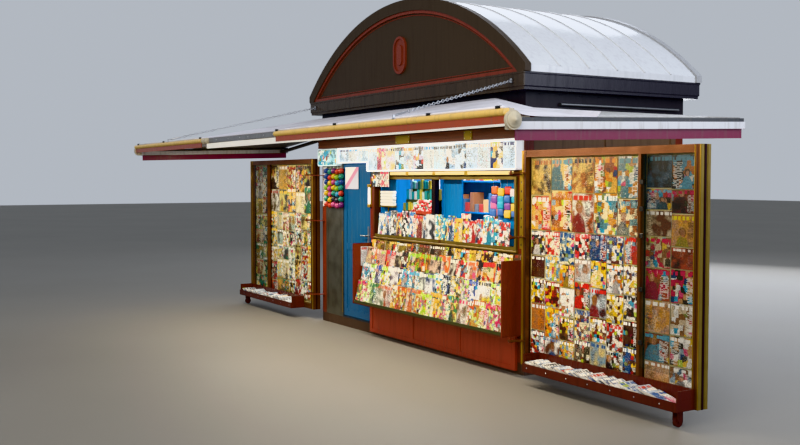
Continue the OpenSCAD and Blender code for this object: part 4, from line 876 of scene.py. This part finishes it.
def makeDisplayPages():
    s = displayGoods
    spans = [("litDisplayPages", s["bendX"] + s["rim"] + 0.006, showHigh.x - s["rim"] - 0.012,
              showLow.z + s["rim"] + 0.003, s["height"]),
             ("litDoorPages", showLow.x + s["rim"] + 0.006, s["bendX"] + s["rim"] + 0.002,
              s["doorFoot"] + s["rim"] + 0.002, s["doorHeight"])]
    for i, (name, left, right, foot, height) in enumerate(spans):
        count = int((right - left) / s["width"])
        x = left + (np.arange(count) + 0.5) * (right - left) / count
        rng = np.random.default_rng(5 + i)
        makeCopies(name, columns(x, showLow.y + s["recess"], foot), *facingFront, (right - left) / count - 0.003,
                   height * rng.uniform(0.96, 1.0, count), s["depth"], "lit", "litCover", seed=9 + i)
    feet = columns(np.array(s["hangX"]), frontY - 0.056, showLow.z - s["hangHeight"] - 0.001)
    makeCopies("hangingPages", feet, *facingFront, s["hangWidth"], s["hangHeight"] + 0.002, 0.004, "thirdRow",
               "pale", seed=17)
    x = headLow.x + 0.02 + (np.arange(3) + 0.5) * (headHigh.x - headLow.x - 0.04) / 3
    makeCopies("columnHeaderPrint", columns(x, headLow.y, headLow.z + 0.012), *facingFront,
               (headHigh.x - headLow.x - 0.045) / 3, headHigh.z - headLow.z - 0.024, 0.0015, "cyan", "litPlain",
               seed=19)


makeDisplayPages()
print("lit display made")

# Rail with clips under the lit display, brass stile at the right of the opening, plates on the fascia
frontRail = {"left": -0.24, "right": 1.93, "low": 1.833, "high": 1.866, "near": -1.075, "far": -1.035,
             "clips": (0.121, 0.648, 1.22)}
stile = {"left": 1.985, "right": 2.045, "low": 1.158, "high": 1.873, "proud": 0.012, "pitch": 0.081}
plates = {"spans": ((-0.134, 0.153), (1.17, 1.304)), "proud": 0.007}


def makeOpeningFittings():
    s = frontRail
    w, h = s["far"] - s["near"], s["high"] - s["low"]
    turn = fullTurn(24)
    lobe = np.stack([np.sign(np.cos(turn)) * np.abs(np.cos(turn)) ** 0.45 * w / 2,
                     np.sign(np.sin(turn)) * np.abs(np.sin(turn)) ** 0.45 * h / 2], 1)  # rounded rectangle
    path = columns(np.linspace(s["left"], s["right"], 12), (s["near"] + s["far"]) / 2, (s["low"] + s["high"]) / 2)
    # the rail is brass; its even warm glow is a painted highlight
    makeSweep("handRailWithPaintedGlow", [path], lobe, "warmRail", smooth=True)
    makeBoxes("handRailClips", [((x - 0.026, s["near"] - 0.004, s["low"] - 0.006),
                                 (x + 0.026, frontY, s["high"] + 0.005)) for x in s["clips"]],
              "brass", round=0.004)
    makeBoxes("handRailBoard", [((s["left"], -1.07, s["high"] + 0.0005), (s["right"], frontY, showLow.z - 0.0005))],
              "fascia")
    s = stile
    makeBoxes("openingStile", [((s["left"], frontY - s["proud"], s["low"]), (s["right"], frontY, s["high"]))],
              "brassPost", round=0.002)
    z = np.arange(s["high"] - 0.03, s["low"] + 0.03, -s["pitch"])
    middle = columns((s["left"] + s["right"]) / 2, frontY - s["proud"], z)
    makeTurned("stileSlots", [(0, -0.001), (0.011, -0.001), (0.011, 0.0012), (0.008, 0.0005), (0, 0.0005)],
               middle, (0, -1, 0), "black", sides=18, smooth=False)
    fasciaLow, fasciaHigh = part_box("fascia")
    makeBoxes("fasciaPlates", [((a, fasciaLow.y - plates["proud"], fasciaLow.z + 0.004),
                                (b, fasciaLow.y + 0.002, fasciaHigh.z - 0.004)) for a, b in plates["spans"]],
              "brassPlate", round=0.002)
    screws = [(x, fasciaLow.y - plates["proud"], z) for a, b in plates["spans"] for x in (a + 0.014, b - 0.014)
              for z in (fasciaLow.z + 0.02, fasciaHigh.z - 0.02)]
    makeHeads("fasciaPlateScrews", screws, (0, -1, 0), 0.006, 0.003, "steel")


makeOpeningFittings()
print("fittings of the opening made")

# Stock behind the opening: stepped packs, sweets, bags and a white pad, and shelves on the rear wall
stockLeft = {"x": (-0.46, 0.14), "y": (-0.88, -0.64), "steps": 5, "foot": 1.15, "rise": 0.12, "pitch": 0.052,
             "tones": ["#1f9a9a", "#2fb0a8", "#7ac0a0", "#3a7a5a", "#c8e0d8", "#e8e8e4", "#c9d8d0", "#d8c23a"]}
stockRight = {"x": (1.16, 1.58), "y": (-0.86, -0.64), "steps": 4, "foot": 1.142, "rise": 0.12, "pitch": 0.052,
              "tones": ["#e0762a", "#d8402c", "#e8b13a", "#7a4a9a", "#d06aa0", "#3a6ab0", "#e8e0e4", "#2fa0c0"]}
sweets = {"count": 90, "x": (-0.02, 0.36), "y": (-0.925, -0.875), "foot": 1.43, "heap": 0.13,
          "tones": ["#d8262c", "#e8e4e0", "#d8262c", "#f0ece8", "#e05a50"]}
pads = {"count": 5, "x": (-0.60, -0.33), "y": (-0.99, -0.937), "foot": 1.49, "pitch": 0.034, "thick": 0.03}
hungBags = {"x": 1.53, "y": -0.965, "z": 1.47, "cols": 4, "rows": 4, "step": (0.105, 0.068), "width": 0.098,
            "height": 0.078, "depth": 0.03,
            "tones": ["#e0762a", "#d8402c", "#7a4a9a", "#e07ab0", "#3a6ab0", "#2fa0c0", "#e8c83a", "#f0e8f0"]}
shelves = {"x": (-1.75, 1.85), "y": (0.70, 0.93), "heights": (0.55, 0.95, 1.35, 1.75), "thick": 0.018,
           "perShelf": 34, "tones": ["#8a5a3a", "#c9a06a", "#d8d0c0", "#3a5a7a", "#a83a2c", "#6a6a6e", "#c9b02c"]}


# Widths, depths and heights of boxes, picked at random between two limits each
def boxSizes(rng, count, *limits):
    return np.stack([rng.uniform(low, high, count) for low, high in limits], 1)


def makeStock():
    rng = np.random.default_rng(51)
    for name, s in (("stockPacksLeft", stockLeft), ("stockPacksRight", stockRight)):
        depth = (s["y"][1] - s["y"][0]) / s["steps"]
        step = np.arange(s["steps"])
        y0 = s["y"][0] + step * depth
        top = s["foot"] + 0.05 + step * s["rise"]
        makeBoxes(name + "Steps", [((s["x"][0], y, s["foot"] - 0.001), (s["x"][1], s["y"][1], z))
                                   for y, z in zip(y0, top)], "olive", round=0.002)
        perRow = int((s["x"][1] - s["x"][0]) / s["pitch"])
        col, row = gridPlaces(perRow, s["steps"])
        size = boxSizes(rng, len(col), (0.038, 0.049), (0.022, 0.034), (0.075, 0.125))
        middle = columns(s["x"][0] + (col + 0.5) * (s["x"][1] - s["x"][0]) / perRow,
                         y0[row] + 0.02, top[row] + size[:, 2] / 2)
        makeTonedBoxes(name, middle, size, pickTones(rng, s["tones"], len(col)),
                       turn=rng.uniform(-0.12, 0.12, len(col)), round=0.005)
    s = sweets
    heap = columns(rng.uniform(*s["x"], s["count"]), rng.uniform(*s["y"], s["count"]),
                   s["foot"] + rng.uniform(0, 1, s["count"]) ** 1.4 * s["heap"])
    makeTurned("wrappedSweets", [(0, -0.014), (0.011, -0.008), (0.014, 0), (0.011, 0.008), (0, 0.014)], heap,
               (0.3, -0.9, 0.3), "plastic", sides=8, tones=pickTones(rng, s["tones"], s["count"]))
    makeBoxes("sweetsTray", [((-0.045, -0.945, 1.395), (0.385, -0.86, 1.418)),
                             ((-0.045, -0.945, 1.395), (0.385, -0.941, 1.45)),
                             ((-0.03, -0.935, 1.141), (-0.018, -0.925, 1.396)),
                             ((0.358, -0.935, 1.141), (0.37, -0.925, 1.396))], "redBrown")
    s = pads
    makeBoxes("whitePads", [((s["x"][0], s["y"][0], z), (s["x"][1] - 0.008 * (i % 2), s["y"][1], z + s["thick"]))
                            for i, z in enumerate(s["foot"] + np.arange(s["count"]) * s["pitch"])],
              "paper", round=0.006)
    makeBoxes("whitePadHolder", [((-0.612, -0.996, 1.474), (-0.318, -0.936, 1.488)),
                                 ((-0.612, -0.996, 1.488), (-0.606, -0.99, 1.66)),
                                 ((-0.47, -0.97, 1.169), (-0.456, -0.956, 1.475))], "olive")
    s = hungBags
    u, v = np.meshgrid(np.linspace(-1, 1, 9), np.linspace(-1, 1, 9))
    swell = s["depth"] / 2 * ((1 - u ** 4) * (1 - v ** 4)) ** 0.5  # pillow: thick in the middle, flat at the seams
    one = np.stack([columns(u * s["width"] / 2, way * swell, v * s["height"] / 2) for way in (-1, 1)])
    faces = np.concatenate([gridFaces(9, 9), gridFaces(9, 9) + 81])
    col, row = gridPlaces(s["cols"], s["rows"])
    middle = columns(s["x"] + col * s["step"][0] + rng.uniform(-0.01, 0.01, len(col)),
                     s["y"] + ((row + col) % 2) * 0.006,
                     s["z"] + row * s["step"][1] + rng.uniform(-0.012, 0.012, len(col)))
    tones = pickTones(rng, s["tones"], len(col))
    makePiece("hungBags", middle[:, None, None, None] + one, copyFaces(faces, 162, len(col)), "plastic",
              smooth=True, fields={"ownTone": np.repeat(tones, 162, 0)})
    makeBoxes("bagHooks", [((s["x"] + i * s["step"][0] - 0.0015, s["y"] - 0.003, s["z"]),
                            (s["x"] + i * s["step"][0] + 0.0015, s["y"], openHigh.z - 0.027))
                           for i in range(s["cols"])], "steel", round=0)
    s = shelves
    makeBoxes("rearShelves", [((s["x"][0], s["y"][0], z), (s["x"][1], 0.941, z + s["thick"])) for z in s["heights"]]
              + [((x, s["y"][0], 0.131), (x + 0.018, 0.941, 2.1)) for x in (s["x"][0], 0.04, s["x"][1] - 0.018)],
              "blue")
    col, row = gridPlaces(s["perShelf"], len(s["heights"]))
    size = boxSizes(rng, len(col), (0.05, 0.095), (0.12, 0.2), (0.1, 0.27))
    x = s["x"][0] + 0.07 + (col + 0.5) * (s["x"][1] - s["x"][0] - 0.14) / s["perShelf"]
    middle = columns(x, s["y"][0] + 0.015 + size[:, 1] / 2, np.array(s["heights"])[row] + s["thick"] + size[:, 2] / 2)
    keep = np.abs(x - 0.049) > 0.06  # clear of the upright in the middle
    makeTonedBoxes("shelfBoxes", middle[keep], size[keep],
                   pickTones(rng, s["tones"], keep.sum()))
    makeBoxes("ceilingLampTray", [((-1.3, -0.36, 2.365), (1.5, -0.24, 2.399))], "lampRail")
    tubes = [columns(np.linspace(-1.26, 1.46, 10), y, 2.352) for y in (-0.33, -0.27)]
    makeSweep("ceilingTubes", tubes, circleSection(0.013, 12), "tube", smooth=True)


makeStock()
print("stock made")

# Staff door: a notice, and the small lamp on the post beside it; a notice on the inner side of the left cheek
doorGoods = {"notice": (-1.43, -1.10, 1.67, 1.93), "lampX": (-0.802, -0.744), "lampZ": (1.465, 1.73),
             "lampDepth": 0.03, "lampCap": 0.035, "stripZ": (0.16, 1.16), "cheekFoot": (-1.082, 0.80),
             "cheekSize": (0.15, 0.22)}


def makeDoorDetails():
    left, right, low, high = doorGoods["notice"]
    makeCopies("doorNotice", [((left + right) / 2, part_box("door_leaf")[0].y, low)], *facingFront,
               right - left, high - low, 0.002, "cyan", "notice", "staff_door", seed=3)
    (x0, x1), (z0, z1), cap = doorGoods["lampX"], doorGoods["lampZ"], doorGoods["lampCap"]
    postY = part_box("counter_post")[0].y
    nearY = postY - doorGoods["lampDepth"]
    makeBoxes("postLampCase", [((x0, nearY, z0), (x1, postY, z0 + cap)), ((x0, nearY, z1 - cap), (x1, postY, z1)),
                               ((x0, postY - 0.008, z0 + cap), (x1, postY, z1 - cap))],
              "brass", round=0.004)
    makeBoxes("postLampLens", [((x0 + 0.008, nearY + 0.003, z0 + cap + 0.0005),
                                (x1 - 0.008, postY - 0.0085, z1 - cap - 0.0005))],
              "opal", round=0.006)
    # a brass strip at the column's edge, made bright as a painted highlight of the light along the door frame's steel
    # edge
    steelLow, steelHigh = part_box("steel_column")  # bright edge strip beside the door
    stripLow, stripHigh = doorGoods["stripZ"]
    makeBoxes("columnEdgeHighlightStrip", [((steelHigh.x - 0.014, steelLow.y - 0.0025, stripLow),
                                   (steelHigh.x - 0.007, steelLow.y + 0.001, stripHigh))],
              "brassPost", round=0.001)
    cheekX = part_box("tier_cheeks")[0].x + 0.02
    makeCopies("cheekNotice", [(cheekX, *doorGoods["cheekFoot"])], (0, 1, 0), (0, 0, 1), (1, 0, 0),
               *doorGoods["cheekSize"], 0.0015, "news", "news", seed=4)


makeDoorDetails()

# Balls in nets on strings in front of the steel column, with a price sheet at their left
ballRack = {"cols": 5, "rows": 7, "left": -1.868, "pitch": 0.098, "top": 1.89, "fall": 0.069, "radius": 0.034,
            "sheetX": -1.985, "sheetFoot": 1.45, "sheetSize": (0.1, 0.49),
            "tones": ["#1d3f86", "#a8382c", "#6f9a2f", "#6a2c6a", "#b89a24", "#1f7a6a", "#2a2a3a", "#a84a7a",
                      "#2f7fa8"]}


def makeBallRack():
    s = ballRack
    rng = np.random.default_rng(61)
    postY = min(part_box("steel_column")[0].y, frontY)
    col, row = gridPlaces(s["cols"], s["rows"])
    x = s["left"] + col * s["pitch"] + rng.uniform(-0.006, 0.006, len(col))
    ballY = postY - s["radius"] - 0.002
    centres = columns(x, ballY, s["top"] - row * s["fall"] - (col % 2) * 0.012)
    lift = np.radians(np.linspace(-90, 90, 13))
    profile = np.stack([s["radius"] * np.cos(lift), s["radius"] * np.sin(lift)], 1)
    profile[[0, -1], 0] = 0
    makeTurned("toyBalls", profile, centres, (0.2, 0, 1), "plastic", sides=20,
               tones=pickTones(rng, s["tones"], len(x)))
    length = np.linspace(s["top"] - (s["rows"] - 1) * s["fall"], headLow.z + 0.002, 6)
    lines = [columns(s["left"] + c * s["pitch"], ballY, length) for c in range(s["cols"])]
    makeSweep("ballStrings", lines, circleSection(0.0014, 6), "paper", up=(0, 1, 0), smooth=True)
    makeCopies("priceSheet", [(s["sheetX"], frontY, s["sheetFoot"])], *facingFront, *s["sheetSize"], 0.0015,
               "news", "news", seed=6)


makeBallRack()
print("door and column made")

# Magazines hung in rows on the boards of the wings, posters in the upper rows
wingGoods = {"cols": 7, "rows": 6, "posterCols": 5, "posterRows": 2, "glassCols": 2, "glassRows": 8, "gap": 0.012,
             "depth": (0.003, 0.007), "posterShare": 0.36}


def makeWingMagazines(side, body):
    s = wingGoods
    x0, x1, foot, head = boardLow.x + 0.015, glassLow.x - 0.035, boardLow.z + 0.03, boardHigh.z - 0.01
    split = head - (head - foot) * s["posterShare"]
    warm = side < 0
    sheets = [("Posters", x0, x1, split, head, s["posterCols"], s["posterRows"], "warmWing" if warm else "posters"),
              ("Open", x0, x1, foot, split, s["cols"], s["rows"] - 1, "warmWing" if warm else "coolWing"),
              ("Glazed", glassLow.x + 0.006, boardHigh.x - 0.006, foot, head, s["glassCols"], s["glassRows"],
               "warmWing" if warm else "darkGlass")]
    for label, left, right, z0, z1, cols, rowCount, palette in sheets:
        rng = np.random.default_rng(int(70 + side * 3 + cols))
        col, row = gridPlaces(cols, rowCount)
        wide, count = (right - left) / cols, len(col)
        cuts = np.cumsum(np.concatenate([np.zeros((1, cols)), rng.uniform(0.8, 1.25, (rowCount, cols))]), 0)
        cuts *= (z1 - z0) / cuts[-1]
        z, tall = z0 + cuts[:-1][row, col], np.diff(cuts, axis=0)[row, col]
        x = side * (left + (col + 0.5) * wide + rng.uniform(-0.003, 0.003, count))
        lean = np.radians(rng.uniform(0.4, 2.0, count))
        up, out = columns(0.0, np.sin(lean), np.cos(lean)), columns(0.0, -np.cos(lean), np.sin(lean))
        y = np.full(count, boardLow.y) - 0.002 - np.sin(lean) * tall
        makeCopies(f"{body}Magazines{label}", columns(x, y, z + s["gap"] / 2), (1, 0, 0), up, out,
                   wide - s["gap"] * rng.uniform(0.2, 1.0, count), tall - s["gap"] * rng.uniform(0.4, 1.2, count),
                   rng.uniform(*s["depth"], count), palette, "cover" if label != "Open" else "pale",
                   body=body, seed=int(80 + side + cols))


# Newspapers fanned in the trays like fallen dominoes, each on the one before
trayPapers = {"count": 30, "tilt": (13, 19), "width": 0.148, "height": (0.24, 0.27), "depth": (0.006, 0.012),
              "footZ": 0.146}


def makeTrayPapers(side, body):
    s, count = trayPapers, trayPapers["count"]
    rng = np.random.default_rng(90 + side)
    x = np.linspace(trayLow.x + 0.03, trayHigh.x - 0.27, count) + 0.24 * (side > 0)
    tilt = np.radians(rng.uniform(*s["tilt"], count))
    up, out = columns(-np.cos(tilt), 0.0, np.sin(tilt)), columns(np.sin(tilt), 0.0, np.cos(tilt))
    foot = columns(side * x, (trayLow.y + trayHigh.y) / 2 + rng.uniform(-0.006, 0.006, count), s["footZ"])
    makeCopies(f"{body}Newspapers", foot, (0, 1, 0), up, out, s["width"] * rng.uniform(0.94, 1.0, count),
               rng.uniform(*s["height"], count), rng.uniform(*s["depth"], count), "news", "news", body,
               seed=int(95 + side), bend=rng.uniform(-0.01, 0.012, count))


# Brass edge strips, black clips on the glass, tyres of the castors and bolts of the tray
wingFittings = {"strip": 0.007, "proud": 0.0025, "clipHeights": (0.12, 0.37, 0.62, 0.745, 0.87),
                "clipHalf": 0.019, "tyreRadius": 0.0385, "wheelIn": 0.07, "wheelHigh": 0.042, "bolts": 7}


def makeWingFittings(side, body):
    s = wingFittings
    free, root = wingHigh.x, boardLow.x - 0.06
    face = trayHigh.y  # the frame's front, where the tray is fixed
    spans = [(free - 0.06, free - 0.06 + s["strip"]), (free - s["strip"] - 0.002, free - 0.002),
             (free - 0.034, free - 0.030), (root + 0.002, root + 0.024), (root + 0.052, root + 0.059)]
    for label, finish, slot, chosen in (("Brass", "brassPost", "brass_profile", (0, 1, 3)),
                                        ("Dark", "black", "bronze_profile", (2, 4))):
        boxes = []
        for a, b in (spans[i] for i in chosen):
            lo, hi = sorted((side * a, side * b))
            boxes.append(((lo, face - s["proud"], wingLow.z + 0.002), (hi, face + 0.002, wingHigh.z - 0.002)))
        makeBoxes(f"{body}{label}Strips", boxes, finish, body, slot, round=0.001)
    clips = []
    for share in s["clipHeights"]:
        z = glassLow.z + share * (glassHigh.z - glassLow.z)
        lo, hi = sorted((side * (glassLow.x - 0.014), side * (glassLow.x + 0.03)))
        clips.append(((lo, glassLow.y - 0.004, z - s["clipHalf"]), (hi, glassLow.y + 0.002, z + s["clipHalf"])))
    makeBoxes(f"{body}GlassClips", clips, "black", body, "glass_pane", round=0.003)
    wheelX, wheelZ = trayHigh.x - s["wheelIn"], s["wheelHigh"]
    turn = np.linspace(0, 2 * np.pi, 13)
    profile = np.stack([s["tyreRadius"] - 0.005 + 0.0045 * np.cos(turn), 0.0135 * np.sin(turn)], 1)
    makeLoopTurned(f"{body}CastorTyre", profile, (side * wheelX, (trayLow.y + trayHigh.y) / 2, wheelZ), (1, 0, 0),
                   "rubber", body)
    bolts = [(side * x, trayLow.y, boardLow.z - 0.025)
             for x in np.linspace(trayLow.x + 0.06, trayHigh.x - 0.16, s["bolts"])]
    makeHeads(f"{body}TrayBolts", bolts, (0, -1, 0), 0.007, 0.004, "steel", body)


for side, body in ((1, "right_wing"), (-1, "left_wing")):
    makeWingMagazines(side, body)
    makeTrayPapers(side, body)
    makeWingFittings(side, body)
print("wings made")

# Chain stays from the cornice to the front beam, with a screw fitting near the foot and a lug at each end
stay = {"top": (2.0, -1.124, 2.675), "foot": (2.72, -2.777, 2.268), "link": 0.046, "wide": 0.03, "wire": 0.0042,
        "pitch": 0.0345, "fitting": 0.16}


def makeChainStays():
    s = stay
    radius = np.interp(np.linspace(0, 1, 10), [0, 0.12, 0.2, 0.8, 0.88, 1], [4, 4, 9, 9, 4, 4]) / 1000
    links, screws, lugs = [], [], []
    for side in (1, -1):
        top, foot = (np.array(s[end]) * (side, 1, 1) for end in ("top", "foot"))
        reach = np.linalg.norm(foot - top)
        ahead = (foot - top) / reach
        across = sideways(ahead)[0]
        count = int((reach - s["fitting"]) / s["pitch"])
        centre = top + ((np.arange(count) + 0.5) * s["pitch"])[:, None] * ahead
        even = (np.arange(count) % 2 == 0)[:, None]
        flat = np.where(even, across, np.cross(ahead, across))[:, None, None]
        normal = np.cross(ahead, flat)
        t, k = fullTurn(12)[None, :, None, None], fullTurn(6)[None, None, :, None]
        a, b = s["link"] / 2 - s["wire"], s["wide"] / 2 - s["wire"]
        ringOut = np.cos(t) / a * ahead + np.sin(t) / b * flat
        ringOut /= np.linalg.norm(ringOut, axis=-1, keepdims=True)
        # each link is an oval ring: centre + a cos t ahead + b sin t flat + wire (cos k outwards + sin k normal)
        points = (centre[:, None, None] + a * np.cos(t) * ahead + b * np.sin(t) * flat
                  + s["wire"] * (np.cos(k) * ringOut + np.sin(k) * normal))
        links.append((points, copyFaces(gridFaces(12, 6, True, True), 72, count)))
        path = np.linspace(top + count * s["pitch"] * ahead, foot, 10)
        ring = sweepPoints(path, circleSection(1.0, 12)) - path[:, None]
        screws.append(closedTube(path[:, None] + ring * radius[:, None, None], path[:1, None], path[-1:, None]))
        lugs += [((top[0] - 0.016, top[1] - 0.006, top[2] - 0.02), (top[0] + 0.016, -1.112, top[2] + 0.02)),
                 ((foot[0] - 0.018, foot[1] - 0.008, 2.2405), (foot[0] + 0.018, foot[1] + 0.012, 2.2465)),
                 ((foot[0] - 0.004, foot[1] - 0.008, 2.246), (foot[0] + 0.004, foot[1] + 0.012, 2.276))]
    chain = makePiece("stayChains", *joinParts(links), "chain", smooth=True)
    makePiece("stayScrews", *joinParts(screws), "steel", smooth=True)
    makeBoxes("stayLugs", lugs, "steel", round=0.002)
    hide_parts("canopy_stays")


makeChainStays()

# Canopy fittings: hem rod and clips on the front bars, cast ends, lamp lenses
canopyFittings = {"hemRadius": 0.008, "clips": (0.56, 1.75, 3.2, 4.02, -1.56, -2.9, -4.0), "capZ": 2.167,
                  "leftEnd": -1.49, "leftEndLength": 0.15, "lamps": 11, "lampPitch": 0.64,
                  "boltX": (-1.1, -0.75, -0.42, -0.2, 0.2, 0.42)}


def makeCanopyFittings():
    s = canopyFittings
    y, z = barHigh.y - 0.012, barHigh.z + s["hemRadius"]
    paths = [columns(np.linspace(a, b, 14), y, z) for a, b in ((0.535, 4.06), (-4.06, s["leftEnd"] - 0.005))]
    makeSweep("clothHemRods", paths, circleSection(s["hemRadius"], 12), "hem", smooth=True)
    makeBoxes("hemClips", [((x - 0.022, y - 0.018, barHigh.z - 0.004), (x + 0.022, y + 0.012, z + 0.011))
                           for x in s["clips"]], "black", slot="grey_profile", round=0.004)
    midY = (beamLow.y + beamHigh.y) / 2
    profile = [(0, -0.002), (0.052, -0.002), (0.052, 0.004), (0.046, 0.009), (0.03, 0.011), (0.028, 0.016),
               (0.014, 0.017), (0.013, 0.023), (0, 0.024)]
    for side, name in ((1, "rightCornerCap"), (-1, "leftCornerCap")):
        makeTurned(name, profile, [(side * beamHigh.x, midY, s["capZ"])], (side, 0, 0), "casting", sides=32)
    left, length = s["leftEnd"], s["leftEndLength"]
    profile = [(0.0, 0.0), (0.029, 0.0), (0.033, 0.012), (0.034, 0.05), (0.028, 0.056), (0.026, 0.1), (0.034, 0.13),
               (0.028, length), (0.0, length)]
    makeTurned("leftBarEndCasting", profile, [(left, -2.764, 2.214)], (1, 0, 0), "casting", slot="cream_profile",
               sides=28)
    makeBoxes("leftBarEndBracket", [((left + 0.1, -2.79, 2.2), (left + 0.14, beamLow.y + 0.001, 2.232))], "casting",
              round=0.004)
    bolts = [(x, barHigh.y, 2.217) for x in s["boltX"]]
    makeHeads("beamBolts", bolts, (0, -1, 0), 0.008, 0.005, "steel")
    lampX = (np.arange(s["lamps"]) - (s["lamps"] - 1) / 2) * s["lampPitch"]
    centres = columns(lampX, (lampLow.y + lampHigh.y) / 2, lampLow.z)
    makeTurned("lampLenses", [(0, -0.001), (0.046, -0.001), (0.046, 0.002), (0.036, 0.006), (0.018, 0.0085),
                              (0, 0.009)], centres, (0, 0, -1), "lampGlass", sides=28)
    makeTurned("lampRims", [(0.0465, -0.001), (0.0545, -0.001), (0.0545, 0.003), (0.051, 0.005), (0.047, 0.0035),
                            (0.0465, -0.001)], centres, (0, 0, -1), "steel", sides=28)
    makeBoxes("lampStrip", [((lampLow.x, lampLow.y - 0.012, lampLow.z - 0.018),
                             (lampHigh.x, lampLow.y + 0.001, lampHigh.z - 0.004))],
              "lampBand", round=0.003)


makeCanopyFittings()
print("canopy fittings made")

# Roof: standing seams over the vault, a bead inside each gable moulding, rivets along the band
roof = {"apex": 3.67, "foot": 2.81, "seams": (-0.7, -0.35, 0.0, 0.35, 0.7), "seamRise": 0.012, "seamWidth": 0.014,
        "rim": 0.105, "moulding": 0.032, "beadGap": 0.018, "beadRadius": 0.0055, "beadInset": 0.0355,
        "rivetPitch": 0.24, "rivetEnds": (1.92, 0.84), "rivetRows": (2.425, 2.565)}


def makeRoofDetails():
    s = roof
    half = corniceHigh.x
    rise = s["apex"] - s["foot"]
    radius = (half * half + rise * rise) / (2 * rise)
    middleZ = s["apex"] - radius
    edge = math.asin(half / radius)
    angle = np.linspace(-edge, edge, 90)
    w, h, cut = s["seamWidth"] / 2, s["seamRise"], 0.003  # half width, rise and cut corners of a seam
    section = [(0.004, -w), (0.004, w), (-h + cut, w), (-h, w - cut), (-h, -w + cut), (-h + cut, -w)]
    arcs = [columns(radius * np.sin(angle), y, middleZ + radius * np.cos(angle)) for y in s["seams"]]
    makeSweep("vaultSeams", arcs, section, "vault", up=(0, 1, 0))
    r = radius - s["rim"] - s["moulding"] - s["beadGap"]
    baseZ = corniceHigh.z + s["moulding"] + s["beadGap"]
    corner = math.acos((baseZ - middleZ) / r)
    top = np.linspace(-corner, corner, 96)
    parts = []
    for y in (gableLow.y + s["beadInset"], gableHigh.y - s["beadInset"]):
        arch = columns(r * np.sin(top), y, middleZ + r * np.cos(top))
        loop = np.concatenate([arch, np.linspace(arch[-1], arch[0], 50)[1:-1]])
        parts.append((sweepPoints(loop, circleSection(s["beadRadius"], 8), up=(0, 1, 0), closed=True),
                      gridFaces(len(loop), 8, True, True)))
    makePiece("gableBeads", *joinParts(parts), "moulding", smooth=True)
    bandLow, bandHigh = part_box("roof_band")
    xs, ys = (np.repeat(np.arange(-end, end + 0.01, s["rivetPitch"]), 2) for end in s["rivetEnds"])
    for name, out, x, y in (("Front", (0, -1, 0), xs, bandLow.y), ("Rear", (0, 1, 0), xs, bandHigh.y),
                            ("Right", (1, 0, 0), bandHigh.x, ys), ("Left", (-1, 0, 0), bandLow.x, ys)):
        z = np.resize(s["rivetRows"], max(np.size(x), np.size(y)))
        makeHeads(f"bandRivets{name}", columns(x, y, z), out, 0.007, 0.0035, "band")


makeRoofDetails()
print("roof details made")
